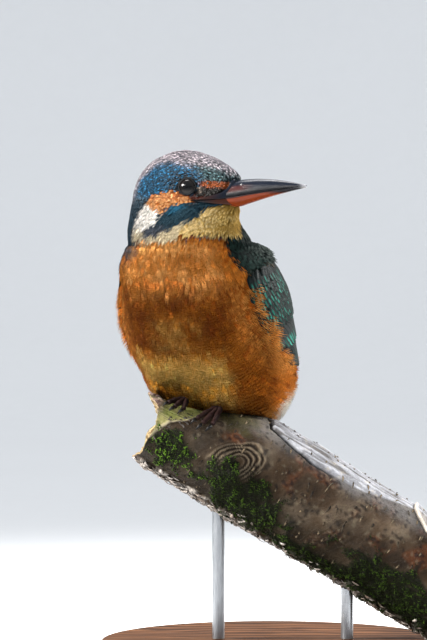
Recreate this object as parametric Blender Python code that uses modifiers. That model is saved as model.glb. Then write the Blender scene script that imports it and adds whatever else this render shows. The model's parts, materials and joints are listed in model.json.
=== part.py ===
# Common kingfisher on a cut length of branch, held by a plain display stand.
# Metres, +Z up, origin at the middle of the stand's underside. The main view looks along +Y.
# The plumage is part of each solid: tail, trunk, neck and head are one loft, parted by thin flat cuts.

import math

import bmesh
import bpy
import numpy as np

MM = 0.001
GAP = 0.3 * MM

# How the bird sits
BODY_YAW = math.radians(30.0)
HEAD_YAW = math.radians(36.0)
BODY_X = -0.0362
BODY_Y = -0.0140
HEAD_X = -0.0345
HEAD_Y = -0.0165
CROWN_Z = 0.2020
CROWN_RING_DROP = 0.5 * MM
THROAT_Z = 0.1680
SUPERELLIPSE = 2.15
MANTLE_FLARE = 5.0 * MM
MANTLE_SIDE = math.radians(65.0)
MANTLE_TOP_Z = 0.1775
MANTLE_REACH = 0.0115
RING_SIDES = 36

# Rings along tail and trunk, from the tail's tip to the neck, in millimetres and degrees:
# distance along the bird, forward of the perching point, height, lean, half width, belly, back
BODY_ROWS = (
    (0.0, -71.0, 66.0, 40.0, 11.5, 0.9, 0.8),
    (18.0, -59.0, 80.0, 40.0, 11.0, 2.0, 1.5),
    (34.0, -49.5, 94.0, 38.0, 17.0, 10.0, 4.8),
    (46.0, -42.5, 104.5, 36.0, 26.4, 20.5, 9.5),
    (57.0, -34.5, 114.5, 34.0, 31.2, 25.0, 15.0),
    (71.0, -24.5, 127.0, 31.0, 34.5, 26.5, 20.2),
    (87.0, -16.5, 142.0, 27.0, 35.2, 27.0, 23.0),
    (100.0, -11.5, 154.0, 19.0, 32.0, 26.0, 21.5),
    (108.0, -8.5, 161.5, 10.0, 30.5, 24.5, 20.5),
    (115.0, -4.0, 168.0, 0.0, 26.0, 20.5, 21.0),
)
TAIL_CUT = 36.0
NECK_CUT = 106.5
NECK_BLEND_START = 104.5
NECK_TOP = 115.0
TAIL_RINGS = 8
TRUNK_RINGS = 21
NECK_RINGS = 4
HEAD_RINGS = 16

# Level rings of the head, in millimetres: height, reach to the bill, reach to the nape,
# half width, how much the front narrows
HEAD_ROWS = (
    (158.0, 23.0, 26.0, 20.0, 0.10),
    (168.0, 24.8, 26.3, 19.0, 0.15),
    (173.0, 23.6, 26.2, 18.2, 0.25),
    (178.0, 24.6, 25.5, 17.2, 0.40),
    (183.0, 26.4, 24.6, 16.2, 0.52),
    (188.0, 27.0, 23.3, 15.3, 0.56),
    (192.0, 24.6, 21.5, 14.0, 0.45),
    (196.0, 18.8, 18.2, 12.0, 0.25),
    (199.0, 12.6, 13.6, 9.2, 0.10),
    (201.0, 6.8, 8.0, 5.6, 0.0),
)

# Folded wing on the left side, in the body's own rings: distance along the bird, and the angles
# of its front and back edge (0 is the side of the body, 90 the middle of the back)
WING_ROWS = (
    (30.0, 66.0, 76.0),
    (38.0, 50.0, 80.0),
    (48.0, 30.0, 80.0),
    (60.0, 6.0, 78.0),
    (72.0, -14.0, 74.0),
    (84.0, -25.0, 68.0),
    (96.0, -25.0, 60.0),
    (104.0, -12.0, 52.0),
    (107.0, 12.0, 38.0),
)
WING_COLUMNS = 10
WING_RINGS = 18
WING_BED = 2.6 * MM
WING_BED_TAIL_END = (40.0, 54.0)
WING_BED_NECK_END = (112.0, 101.0)
WING_BED_EDGE = math.radians(14.0)
WING_BED_OVERLAP = 0.6
WING_PROUD = 0.9 * MM
WING_CROWN_EDGE = 0.12
WING_THICKNESS = 3.0 * MM
WING_TIP_THICKNESS = 1.0 * MM
WING_TIP_STANDOFF = 7.0 * MM
WING_TIP_REACH = 34.0
WING_GAP = 0.50 * MM
SHOULDER_START = 97.0
SHOULDER_REACH = 8.0
SHOULDER_LIFT = 1.3 * MM

# Bill
BILL_LENGTH = 0.0309
BILL_ROOT = 0.0085
BILL_BASE_Z = 0.1833
BILL_TIP_Z = 0.1865
BILL_TOP = 6.1 * MM
BILL_CHIN = 3.3 * MM
BILL_HALF_WIDTH = 4.7 * MM
BILL_TIP_HALF_WIDTH = 0.25 * MM
BILL_TIP_TOP = 0.35 * MM
BILL_TIP_CHIN = 0.30 * MM
BILL_SIDE_TAPER = 0.9
BILL_TOP_TAPER = 1.5
BILL_CHIN_TAPER = 0.9
BILL_RIDGE = 1.15
BILL_LOWER_SHARE = 0.985
BILL_ARC_POINTS = 11
BILL_RINGS = 14
BILL_RING_CROWDING = 0.9

# Eyes
EYE_RADIUS = 3.9 * MM
EYE_Z = 0.1869
EYE_ANGLE = math.radians(70.0)
EYE_DEPTH = 2.9 * MM

# Branch
BRANCH_SLOPE = math.radians(31.0)
BRANCH_RADIUS = 0.0212
BRANCH_X = 0.0106
BRANCH_Y = 0.0020
BRANCH_Z = 0.0636
BRANCH_BROKEN_END = -0.0680
BRANCH_SAWN_END = 0.0735
BRANCH_SIDES = 24
BRANCH_RINGS = 17
BRANCH_RING_CROWDING = 1.1
BRANCH_WAVE = 0.4 * MM
BRANCH_WAVE_TURN = 90.0
KNOT_PLACE = -31.0 * MM
KNOT_ANGLE = math.radians(98.0)
KNOT_RADIUS = 7.0 * MM
KNOT_HEIGHT = 2.5 * MM

# Upper side of the branch where its end is worn and broken, in millimetres: place along it, reach
BRANCH_TOP_ROWS = (
    (-80.0, 5.0),
    (-72.0, 6.0),
    (-64.0, 7.0),
    (-56.0, 9.5),
    (-47.0, 13.0),
    (-38.0, 17.3),
    (-27.0, 20.8),
    (-14.0, 21.2),
    (80.0, 21.2),
)

# Broken end: how far its upper and lower lip stand out, its jags (height, number round, start),
# and the hollow inside its rim (share of the rim's size, depth)
UPPER_LIP = 8.0 * MM
LOWER_LIP = -0.5 * MM
LIP_SET_BACK = 3.0 * MM
JAGS = ((0.9 * MM, 5, 0.0), (0.6 * MM, 9, 1.0))
HOLLOW_RINGS = ((0.55, 5.0 * MM), (0.85, 2.5 * MM))
HOLLOW_DEPTH = 6.0 * MM

# Feet: where each stands on the branch, and where its toes end, as millimetres along the branch
# and degrees from its top towards the front
FEET = {
    "left": ((-46.0, 16.0), ((-52.0, 58.0), (-49.0, 64.0), (-45.5, 60.0)), (-43.0, -26.0)),
    "right": ((-59.5, 12.0), ((-65.0, 44.0), (-62.0, 50.0), (-58.5, 48.0)), (-57.0, -28.0)),
}
TOE_STEPS = 6
TOE_RADIUS = 1.1 * MM
TOE_ROOT_SHARE = 1.15
TOE_END_SHARE = 0.8
TOE_CLEARANCE = 0.35 * MM
KNUCKLE_RISE = 0.9 * MM
TARSUS_RADIUS = 1.5 * MM
TARSUS_WAIST_SHARE = 0.9
TARSUS_START = 2.4 * MM
TARSUS_RISE = 8.0 * MM
TARSUS_BACK = 3.5 * MM
CLAW_STEPS = 6
CLAW_LENGTH = 4.2 * MM
CLAW_REACH_SHARE = 0.8
CLAW_START = 0.4 * MM
CLAW_ARCH = 0.8 * MM
CLAW_DROP = 0.9 * MM
CLAW_TURN_SHARE = 0.85
CLAW_SPLAY = 0.25
CLAW_ROOT_RADIUS = 0.72 * MM
CLAW_TIP_RADIUS = 0.12 * MM

# Stand
BASE_RADIUS = 0.0700
BASE_THICKNESS = 0.0060
BASE_BEVEL = 0.0010
BASE_SIDES = 56
ROD_RADIUS = 2.5 * MM
ROD_SIDES = 24
ROD_X = (-0.0220, 0.0300)
ROD_INSET = 0.0080

FORWARD = np.array((-math.sin(BODY_YAW), -math.cos(BODY_YAW), 0.0))
LEFT = np.array((math.cos(BODY_YAW), -math.sin(BODY_YAW), 0.0))
UP = np.array((0.0, 0.0, 1.0))
BILLWARD = np.array((math.cos(HEAD_YAW), -math.sin(HEAD_YAW), 0.0))
FACE_RIGHT = np.array((-math.sin(HEAD_YAW), -math.cos(HEAD_YAW), 0.0))
HEAD_TURN = math.atan2(-BILLWARD @ FORWARD, BILLWARD @ LEFT)
BRANCH_ALONG = np.array((math.cos(BRANCH_SLOPE), 0.0, -math.sin(BRANCH_SLOPE)))
BRANCH_UP = np.array((math.sin(BRANCH_SLOPE), 0.0, math.cos(BRANCH_SLOPE)))
BRANCH_FRONT = np.array((0.0, -1.0, 0.0))


def smooth_table(rows, place):
    """Smooth curve through the rows of a table whose first column is the place."""
    rows = np.array(rows)
    x, y = rows[:, 0], rows[:, 1:]
    slopes = np.gradient(y, x, axis=0)
    place = float(np.clip(place, x[0], x[-1]))
    k = min(int(np.searchsorted(x, place, side="right")) - 1, len(x) - 2)
    h = x[k + 1] - x[k]
    t = (place - x[k]) / h
    start = (2 * t**3 - 3 * t**2 + 1) * y[k] + (t**3 - 2 * t**2 + t) * h * slopes[k]
    end = (3 * t**2 - 2 * t**3) * y[k + 1] + (t**3 - t**2) * h * slopes[k + 1]
    return start + end


def smoothstep(value):
    value = np.clip(value, 0.0, 1.0)
    return value * value * (3.0 - 2.0 * value)


def fade_in(value, start, end):
    return smoothstep((value - start) / (end - start))


def signed_power(value, power):
    return np.sign(value) * np.abs(value) ** power


def head_ring(height, angles, proud=0.0):
    """Level ring of the head: an egg whose narrow end points along the bill."""
    reach, nape, half, narrow = smooth_table(HEAD_ROWS, height / MM)
    along = np.cos(angles - HEAD_TURN)
    across = np.sin(angles - HEAD_TURN)
    to_back = np.maximum(0.0, np.cos(angles - MANTLE_SIDE)) ** 2
    proud = proud + MANTLE_FLARE * to_back * smoothstep((MANTLE_TOP_Z - height) / MANTLE_REACH)
    length = np.where(along > 0.0, reach, nape) * MM + proud
    width = half * MM * (1.0 - narrow * np.maximum(along, 0.0) ** 1.5) + proud
    centre = np.array((HEAD_X, HEAD_Y, height))
    return centre + np.outer(along * length, BILLWARD) - np.outer(across * width, FACE_RIGHT)


def body_ring(place, angles, proud=0.0):
    """Ring of the tail, trunk or neck, with angle 0 at the left side and 90 at the back."""
    forward, height, lean, half, belly, back = smooth_table(BODY_ROWS, place)
    lean = math.radians(lean)
    backward = UP * math.sin(lean) - FORWARD * math.cos(lean)
    side = signed_power(np.cos(angles), 2.0 / SUPERELLIPSE)
    dorsal = signed_power(np.sin(angles), 2.0 / SUPERELLIPSE)
    depth = np.where(dorsal > 0.0, back, belly) * MM + proud
    centre = np.array((BODY_X, BODY_Y, 0.0)) + FORWARD * forward * MM + UP * height * MM
    ring = centre + np.outer(side * (half * MM + proud), LEFT) + np.outer(dorsal * depth, backward)
    headward = smoothstep((place - NECK_BLEND_START) / (NECK_TOP - NECK_BLEND_START))
    return ring * (1.0 - headward) + head_ring(height * MM, angles, proud) * headward


def ring_angles():
    return np.linspace(0.0, 2 * math.pi, RING_SIDES, endpoint=False)


def wing_cover(place, angles):
    """1 where the folded left wing lies on the body, fading to 0 past its edges."""
    front, back = np.radians(smooth_table(WING_ROWS, place))
    inside = np.minimum(angles - front, back - angles) / WING_BED_EDGE
    ends = fade_in(place, *WING_BED_TAIL_END) * fade_in(place, *WING_BED_NECK_END)
    return smoothstep(inside + WING_BED_OVERLAP) * ends


def wing_bed(place, angles):
    """How far the trunk is hollowed below its outline to take both wings."""
    angles = (angles + math.pi / 2) % (2 * math.pi) - math.pi / 2
    return -WING_BED * (wing_cover(place, angles) + wing_cover(place, math.pi - angles))


def faceted_bed(place, angles):
    """The same hollow as the trunk's flat facets have it, for what lies on them."""
    corners = np.linspace(-math.pi, math.pi, RING_SIDES + 1)
    return np.interp(angles, corners, wing_bed(place, corners))


def material(name, colour, roughness, metallic=0.0):
    mat = bpy.data.materials.new(name)
    mat.use_nodes = True
    shader = mat.node_tree.nodes["Principled BSDF"]
    shader.inputs["Base Color"].default_value = (*colour, 1.0)
    shader.inputs["Roughness"].default_value = roughness
    shader.inputs["Metallic"].default_value = metallic
    return mat


def add_object(name, mesh_or_curve, mat, collection):
    obj = bpy.data.objects.new(name, mesh_or_curve)
    obj.data.materials.append(mat)
    collection.objects.link(obj)
    return obj


def finish_mesh(name, bm, mat, collection, sharp_degrees=40.0):
    bmesh.ops.recalc_face_normals(bm, faces=bm.faces)
    if bm.calc_volume(signed=True) < 0.0:
        bmesh.ops.reverse_faces(bm, faces=bm.faces)
    mesh = bpy.data.meshes.new(name)
    bm.to_mesh(mesh)
    bm.free()
    mesh.shade_smooth()
    mesh.set_sharp_from_angle(angle=math.radians(sharp_degrees))
    return add_object(name, mesh, mat, collection)


def loft(name, rings, mat, collection, start_pole=None, end_pole=None):
    """Closed skin over rings of equal count; each end is a fan to a pole, or flat."""
    bm = bmesh.new()
    layers = [[bm.verts.new(point) for point in ring] for ring in rings]
    count = len(layers[0])
    for low, high in zip(layers, layers[1:]):
        for k in range(count):
            after = (k + 1) % count
            bm.faces.new((low[k], low[after], high[after], high[k]))
    for layer, pole in ((layers[0], start_pole), (layers[-1], end_pole)):
        if pole is None:
            bm.faces.new(layer)
            continue
        tip = bm.verts.new(pole)
        for k in range(count):
            bm.faces.new((layer[k], layer[(k + 1) % count], tip))
    return finish_mesh(name, bm, mat, collection)


def tube(name, path, radii, mat, collection, sides=8):
    """Round bar along a path, with its own radius at each point."""
    curve = bpy.data.curves.new(name, "CURVE")
    curve.dimensions = "3D"
    curve.bevel_depth = 1.0
    curve.bevel_resolution = sides // 4 - 1
    curve.use_fill_caps = True
    spline = curve.splines.new("POLY")
    spline.points.add(len(path) - 1)
    for point, place, radius in zip(spline.points, path, radii):
        point.co = (*place, 1.0)
        point.radius = radius
    return add_object(name, curve, mat, collection)


def as_mesh(obj):
    """Replace a curve object by the closed mesh that it draws."""
    bpy.context.view_layer.update()
    evaluated = obj.evaluated_get(bpy.context.evaluated_depsgraph_get())
    mesh = bpy.data.meshes.new_from_object(evaluated)
    bm = bmesh.new()
    bm.from_mesh(mesh)
    bmesh.ops.remove_doubles(bm, verts=bm.verts, dist=0.00001)
    bmesh.ops.recalc_face_normals(bm, faces=bm.faces)
    bm.to_mesh(mesh)
    bm.free()
    name, collection = obj.name, obj.users_collection[0]
    bpy.data.objects.remove(obj)
    solid = bpy.data.objects.new(name, mesh)
    collection.objects.link(solid)
    return solid


def boolean(target, cutter, operation="DIFFERENCE"):
    modifier = target.modifiers.new(cutter.name, "BOOLEAN")
    modifier.operation = operation
    modifier.solver = "EXACT"
    modifier.object = cutter
    cutter.hide_render = True
    cutter.display_type = "WIRE"


def tail(mat, collection):
    angles = ring_angles()[::2]
    places = np.linspace(0.0, TAIL_CUT, TAIL_RINGS)
    return loft("tail", [body_ring(place, angles) for place in places], mat, collection)


def trunk(mat, collection):
    angles = ring_angles()
    places = np.linspace(TAIL_CUT + GAP / MM, NECK_CUT, TRUNK_RINGS)
    rings = [body_ring(place, angles, wing_bed(place, angles)) for place in places]
    return loft("trunk", rings, mat, collection)


def neck(mat, collection):
    angles = ring_angles()
    places = np.linspace(NECK_CUT + 1.4 * GAP / MM, NECK_TOP, NECK_RINGS)
    return loft("neck", [body_ring(place, angles) for place in places], mat, collection)


def head_rings(proud=0.0, start=THROAT_Z + GAP):
    angles = ring_angles()
    rise = np.sin(np.linspace(0.0, math.pi / 2, HEAD_RINGS)[:-1])
    heights = start + (CROWN_Z - CROWN_RING_DROP - start) * rise
    return [head_ring(height, angles, proud) for height in heights]


def crown_pole(proud=0.0):
    return (HEAD_X, HEAD_Y, CROWN_Z + proud)


def head(mat, collection):
    return loft("head", head_rings(), mat, collection, end_pole=crown_pole())


def wing_layers(place, side):
    """Outer and inner edge-to-edge rows of the folded wing at one place along the bird."""
    front, back = np.radians(smooth_table(WING_ROWS, place))
    angles = np.linspace(front, back, WING_COLUMNS)
    tipward = 1.0 - smoothstep((place - WING_ROWS[0][0]) / WING_TIP_REACH)
    crown = np.sin(np.linspace(WING_CROWN_EDGE, 1.0 - WING_CROWN_EDGE, WING_COLUMNS) * math.pi)
    outer = WING_PROUD * crown + WING_TIP_STANDOFF * tipward
    thickness = WING_THICKNESS + (WING_TIP_THICKNESS - WING_THICKNESS) * tipward
    shoulder = SHOULDER_LIFT * smoothstep((place - SHOULDER_START) / SHOULDER_REACH)
    inner = np.maximum(faceted_bed(place, angles) + WING_GAP + shoulder, outer - thickness)
    outer = np.maximum(outer, inner + WING_TIP_THICKNESS)
    if side < 0:
        angles = math.pi - angles
    return body_ring(place, angles, outer), body_ring(place, angles, inner)


def wing(name, side, mat, collection):
    """Folded wing as a shell over the side of the body, thin at its tip."""
    places = np.linspace(WING_ROWS[-1][0], WING_ROWS[0][0], WING_RINGS)
    rings = []
    for place in places:
        outer, inner = wing_layers(place, side)
        rings.append(np.concatenate((outer, inner[::-1])))
    return loft(name, rings, mat, collection)


def face_point(height, angle, proud=0.0):
    """Point of the head's surface, the angle being from the bill; + is the bird's left."""
    return head_ring(height, np.array((HEAD_TURN + angle,)), proud)[0]


def ball(name, centre, radius, mat, collection, segments=16):
    bm = bmesh.new()
    bmesh.ops.create_uvsphere(bm, u_segments=segments, v_segments=segments // 2, radius=radius)
    bmesh.ops.translate(bm, verts=bm.verts, vec=tuple(centre))
    return finish_mesh(name, bm, mat, collection)


def eye_centre(side):
    return face_point(EYE_Z, side * EYE_ANGLE, -EYE_DEPTH)


def bill_ring(part, along):
    """Half-round section of one mandible, flat where the two meet."""
    arc = np.linspace(0.0, math.pi, BILL_ARC_POINTS)
    half = BILL_HALF_WIDTH * max(0.0, 1.0 - along) ** BILL_SIDE_TAPER + BILL_TIP_HALF_WIDTH
    level = BILL_BASE_Z + (BILL_TIP_Z - BILL_BASE_Z) * along
    if part == "upper":
        rise = BILL_TOP * (1.0 - max(along, 0.0) ** BILL_TOP_TAPER) + BILL_TIP_TOP
        heights = level + GAP / 2 + rise * np.sin(arc) ** BILL_RIDGE
    else:
        rise = BILL_CHIN * (1.0 - max(along, 0.0) ** BILL_CHIN_TAPER) + BILL_TIP_CHIN
        heights = level - GAP / 2 - rise * np.sin(arc)
    across = np.cos(arc) * half
    reach = smooth_table(HEAD_ROWS, BILL_BASE_Z / MM)[0] * MM + BILL_LENGTH * along
    axis = np.array((HEAD_X, HEAD_Y, 0.0)) + BILLWARD * reach
    return axis + np.outer(across, FACE_RIGHT) + np.outer(heights, UP)


def mandible(part, mat, collection):
    start = -BILL_ROOT / BILL_LENGTH
    length = 1.0 if part == "upper" else BILL_LOWER_SHARE
    places = start + (length - start) * np.linspace(0.0, 1.0, BILL_RINGS) ** BILL_RING_CROWDING
    return loft("bill_" + part, [bill_ring(part, p) for p in places], mat, collection)


def branch_point(place, angle, proud=0.0):
    """Point of the bark: place along the branch, angle from its top towards the front."""
    top = smooth_table(BRANCH_TOP_ROWS, place / MM)[0] * MM
    knot = math.hypot(place - KNOT_PLACE, (angle - KNOT_ANGLE) * BRANCH_RADIUS) / KNOT_RADIUS
    radius = BRANCH_RADIUS + KNOT_HEIGHT * math.exp(-knot * knot)
    radius += BRANCH_WAVE * math.sin(3.0 * angle + place * BRANCH_WAVE_TURN)
    rise = top if math.cos(angle) > 0.0 else radius
    up = math.cos(angle) * (rise + proud)
    front = math.sin(angle) * (radius + proud)
    axis = np.array((BRANCH_X, BRANCH_Y, BRANCH_Z)) + BRANCH_ALONG * place
    return axis + BRANCH_UP * up + BRANCH_FRONT * front


def broken_place(angle, inset=0.0):
    """Where the bark ends at the broken end, which is highest and lowest at its lips."""
    lips = UPPER_LIP * max(0.0, math.cos(angle)) + LOWER_LIP * max(0.0, -math.cos(angle))
    jags = sum(height * math.sin(number * angle + start) for height, number, start in JAGS)
    return BRANCH_BROKEN_END + LIP_SET_BACK - lips - jags + inset


def branch_rings(proud=0.0):
    angles = np.linspace(0.0, 2 * math.pi, BRANCH_SIDES, endpoint=False)
    rings = []
    for shrink, inset in HOLLOW_RINGS:
        core = branch_axis(BRANCH_BROKEN_END + inset)
        rim = np.array([branch_point(broken_place(a, inset), a, proud) for a in angles])
        rings.append(core + (rim - core) * shrink)
    for step in np.linspace(0.0, 1.0, BRANCH_RINGS) ** BRANCH_RING_CROWDING:
        ring = []
        for angle in angles:
            start = broken_place(angle)
            ring.append(branch_point(start + (BRANCH_SAWN_END - start) * step, angle, proud))
        rings.append(np.array(ring))
    return rings


def branch_axis(place):
    return np.array((BRANCH_X, BRANCH_Y, BRANCH_Z)) + BRANCH_ALONG * place


def branch(name, proud, mat, collection):
    pole = branch_axis(BRANCH_BROKEN_END + HOLLOW_DEPTH)
    return loft(name, branch_rings(proud), mat, collection, start_pole=pole)


def toe_path(start, end, proud):
    """Points of a toe that lies along the bark from the ankle to its end."""
    path = []
    for step in np.linspace(0.0, 1.0, TOE_STEPS):
        place = (start[0] + (end[0] - start[0]) * step) * MM
        angle = math.radians(start[1] + (end[1] - start[1]) * step)
        knuckle = KNUCKLE_RISE * math.sin(math.pi * step)
        path.append(branch_point(place, angle, proud + knuckle))
    return path


def foot(side, mat, collection, cutters, grow=0.0):
    """Toes of one foot, joined at the ankle."""
    start, toes, hind = FEET[side]
    solids = []
    for number, end in enumerate((*toes, hind)):
        path = toe_path(start, end, TOE_RADIUS + TOE_CLEARANCE)
        radii = np.linspace(TOE_RADIUS * TOE_ROOT_SHARE, TOE_RADIUS * TOE_END_SHARE, TOE_STEPS) + grow
        home = collection if number == 0 and not grow else cutters
        name = "foot_" + side if home is collection else f"toe_{side}_{number}_{grow > 0}"
        solids.append(as_mesh(tube(name, path, radii, mat, home)))
    for other in solids[1:]:
        boolean(solids[0], other, "UNION")
    return solids[0]


def ankle(side):
    place, angle = FEET[side][0]
    return branch_point(place * MM, math.radians(angle), TOE_RADIUS + TOE_CLEARANCE)


def leg(side, name, mat, collection, grow=0.0):
    """Short bare shank from the foot up into the belly."""
    start = ankle(side) + UP * (TARSUS_START - grow)
    end = ankle(side) + UP * (TARSUS_RISE + grow) - FORWARD * (TARSUS_BACK + grow)
    path = [start + (end - start) * step for step in (0.0, 0.5, 1.0)]
    radii = [TARSUS_RADIUS * share + grow for share in (1.0, TARSUS_WAIST_SHARE, 1.0)]
    return tube(name, path, radii, mat, collection)


def claw(side, number, name, mat, collection, grow=0.0):
    """Curved claw that arches from the end of a toe down to the bark."""
    start, toes, hind = FEET[side]
    end = (*toes, hind)[number]
    path, radii = [], []
    base = TOE_RADIUS + TOE_CLEARANCE
    front_toe = number < len(toes)
    turn = 1.0 if front_toe else -1.0
    for step in np.linspace(0.0, 1.0, CLAW_STEPS):
        travel = CLAW_START + TOE_RADIUS * TOE_END_SHARE + CLAW_LENGTH * CLAW_REACH_SHARE * step
        angle = math.radians(end[1]) + turn * travel / (BRANCH_RADIUS * CLAW_TURN_SHARE)
        lift = base + CLAW_ARCH * math.sin(math.pi * min(1.0, step * 1.1)) - CLAW_DROP * step**2
        place = end[0] * MM - CLAW_SPLAY * travel * front_toe
        path.append(branch_point(place, angle, lift))
        radii.append(CLAW_ROOT_RADIUS * (1.0 - step) ** 0.8 + CLAW_TIP_RADIUS + grow)
    return tube(name, path, radii, mat, collection)


def cylinder(name, radius, bottom, top, x, y, mat, collection, segments):
    bm = bmesh.new()
    bmesh.ops.create_cone(
        bm, cap_ends=True, segments=segments, radius1=radius, radius2=radius, depth=top - bottom
    )
    bmesh.ops.translate(bm, verts=bm.verts, vec=(x, y, (top + bottom) / 2))
    return finish_mesh(name, bm, mat, collection)


def under_branch(x):
    """Height of the underside of the branch above a place on the floor."""
    along = (x - BRANCH_X) * math.tan(BRANCH_SLOPE)
    return BRANCH_Z - along - BRANCH_RADIUS / math.cos(BRANCH_SLOPE)


def stand(wood, steel, collection, cutters):
    base = cylinder(
        "stand_base", BASE_RADIUS, 0.0, BASE_THICKNESS, 0.0, 0.0, wood, collection, BASE_SIDES
    )
    bevel = base.modifiers.new("rounded rim", "BEVEL")
    bevel.width = BASE_BEVEL
    bevel.segments = 1
    bevel.limit_method = "ANGLE"
    holes = []
    for name, x in zip(("left", "right"), ROD_X):
        top = under_branch(x) + ROD_INSET
        foot_z = BASE_THICKNESS + GAP
        cylinder(
            "stand_rod_" + name, ROD_RADIUS, foot_z, top, x, BRANCH_Y, steel, collection, ROD_SIDES
        )
        hole = cylinder(
            "hole_" + name, ROD_RADIUS + GAP, foot_z, top + GAP, x, BRANCH_Y, steel, cutters, ROD_SIDES
        )
        holes.append(hole)
    return holes


def build():
    for obj in list(bpy.data.objects):
        bpy.data.objects.remove(obj)
    parts = bpy.data.collections.new("kingfisher")
    cutters = bpy.data.collections.new("cutters")
    bpy.context.scene.collection.children.link(parts)
    bpy.context.scene.collection.children.link(cutters)

    orange = material("breast feathers", (0.55, 0.20, 0.05), 0.9)
    blue = material("head feathers", (0.03, 0.12, 0.20), 0.7)
    green = material("wing feathers", (0.02, 0.12, 0.12), 0.6)
    black = material("horn", (0.02, 0.02, 0.03), 0.3)
    red = material("lower mandible", (0.40, 0.12, 0.06), 0.35)
    skin = material("foot skin", (0.25, 0.04, 0.02), 0.5)
    glass = material("eye", (0.01, 0.01, 0.01), 0.05)
    bark = material("bark", (0.18, 0.15, 0.10), 0.85)
    wood = material("base wood", (0.45, 0.33, 0.20), 0.5)
    steel = material("rod steel", (0.60, 0.60, 0.60), 0.3, 1.0)

    train = tail(blue, parts)
    body = trunk(orange, parts)
    neck(orange, parts)
    skull = head(blue, parts)
    wing("wing_left", 1, green, parts)
    wing("wing_right", -1, green, parts)

    for name, side in (("left", 1), ("right", -1)):
        ball("eye_" + name, eye_centre(side), EYE_RADIUS, glass, parts)
        boolean(skull, ball("socket_" + name, eye_centre(side), EYE_RADIUS + GAP, glass, cutters))

    face = loft("face", head_rings(GAP, THROAT_Z), blue, cutters, end_pole=crown_pole(GAP))
    for part, mat in (("upper", black), ("lower", red)):
        boolean(mandible(part, mat, parts), face)

    perch = branch("perch_branch", 0.0, bark, parts)
    for hole in stand(wood, steel, parts, cutters):
        boolean(perch, hole)
    perch_print = branch("perch_print", 1.2 * GAP, bark, cutters)
    boolean(body, perch_print)
    boolean(train, perch_print)

    for side in ("left", "right"):
        foot(side, skin, parts, cutters)
        boolean(body, foot(side, skin, parts, cutters, GAP))
        leg(side, "leg_" + side, skin, parts)
        boolean(body, as_mesh(leg(side, "leg_print_" + side, skin, cutters, GAP)))
        for number in range(4):
            claw(side, number, f"claw_{side}_{number + 1}", black, parts)
        boolean(body, as_mesh(claw(side, 3, "claw_print_" + side, black, cutters, GAP)))


build()
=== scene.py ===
# A kingfisher on a cut length of branch, held by a plain display stand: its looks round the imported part.
# Metres, +Z up. The body's shape functions repeat the part's own, so the skin and coat follow its solids.
import json
import math

import bmesh
import bpy
import numpy as np
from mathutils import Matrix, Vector, noise

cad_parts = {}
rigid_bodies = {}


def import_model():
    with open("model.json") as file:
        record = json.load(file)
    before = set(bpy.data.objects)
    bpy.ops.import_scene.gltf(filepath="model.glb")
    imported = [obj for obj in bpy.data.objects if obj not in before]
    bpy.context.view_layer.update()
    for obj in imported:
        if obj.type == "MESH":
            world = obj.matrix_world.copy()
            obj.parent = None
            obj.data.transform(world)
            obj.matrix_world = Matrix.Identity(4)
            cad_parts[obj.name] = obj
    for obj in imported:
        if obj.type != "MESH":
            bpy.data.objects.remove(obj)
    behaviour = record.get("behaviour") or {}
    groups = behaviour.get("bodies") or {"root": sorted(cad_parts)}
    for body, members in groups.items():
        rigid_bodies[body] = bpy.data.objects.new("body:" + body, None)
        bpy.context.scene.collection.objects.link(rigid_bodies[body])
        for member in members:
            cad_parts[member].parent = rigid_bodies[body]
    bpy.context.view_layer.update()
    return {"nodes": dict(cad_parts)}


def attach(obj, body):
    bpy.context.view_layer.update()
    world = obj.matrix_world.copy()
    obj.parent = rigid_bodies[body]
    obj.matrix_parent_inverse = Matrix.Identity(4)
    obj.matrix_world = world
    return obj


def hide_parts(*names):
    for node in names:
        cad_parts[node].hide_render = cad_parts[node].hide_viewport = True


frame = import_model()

mm = 0.001
tau = 2 * math.pi
bakeTile = 0.003    # width of one feather on the bake map
print("frame loaded:", len(frame["nodes"]), "nodes")


# sRGB hex such as c37b45 to a linear RGB array
def linear(hexColour):
    parts = np.array([int(hexColour[k:k + 2], 16) / 255 for k in (0, 2, 4)])
    return np.where(parts <= 0.04045, parts / 12.92, ((parts + 0.055) / 1.055) ** 2.4)


# linear colours between two hex colours, at shares from 0 to 1
def between(start, end, share):
    return linear(start) * (1 - share) + linear(end) * share


def smooth(value, low=0.0, high=1.0):
    value = np.clip((np.asarray(value, float) - low) / (high - low), 0, 1)
    return value * value * (3.0 - 2.0 * value)


# the product of two such steps, one that lets in and one that shuts out
def within(value, a, b, c, d):
    return smooth(value, a, b) * smooth(value, c, d)


def unit(vectors):
    return vectors / np.maximum(np.linalg.norm(vectors, axis=-1, keepdims=True), 1e-12)


# smooth curves through a table whose first column is the place, read at many places
def smoothTable(rows, place):
    rows = np.array(rows, float)
    x, y = rows[:, 0], rows[:, 1:]
    slopes = np.gradient(y, x, axis=0)
    place = np.clip(np.asarray(place, float), x[0], x[-1])
    k = np.minimum(np.searchsorted(x, place, side="right") - 1, len(x) - 2)
    h = (x[k + 1] - x[k])[..., None]
    t = (place - x[k])[..., None] / h
    start = (2 * t**3 - 3 * t**2 + 1) * y[k] + (t**3 - 2 * t**2 + t) * h * slopes[k]
    end = (3 * t**2 - 2 * t**3) * y[k + 1] + (t**3 - t**2) * h * slopes[k + 1]
    return start + end


# smooth noise from -1 to 1 at many points, with features about size across
def cloud(points, size, seed=0):
    shift = Vector((13.7 * seed, 5.1 * seed, 8.3 * seed))
    return np.array([noise.noise(Vector(p) / size + shift) for p in np.asarray(points).reshape(-1, 3)])


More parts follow.
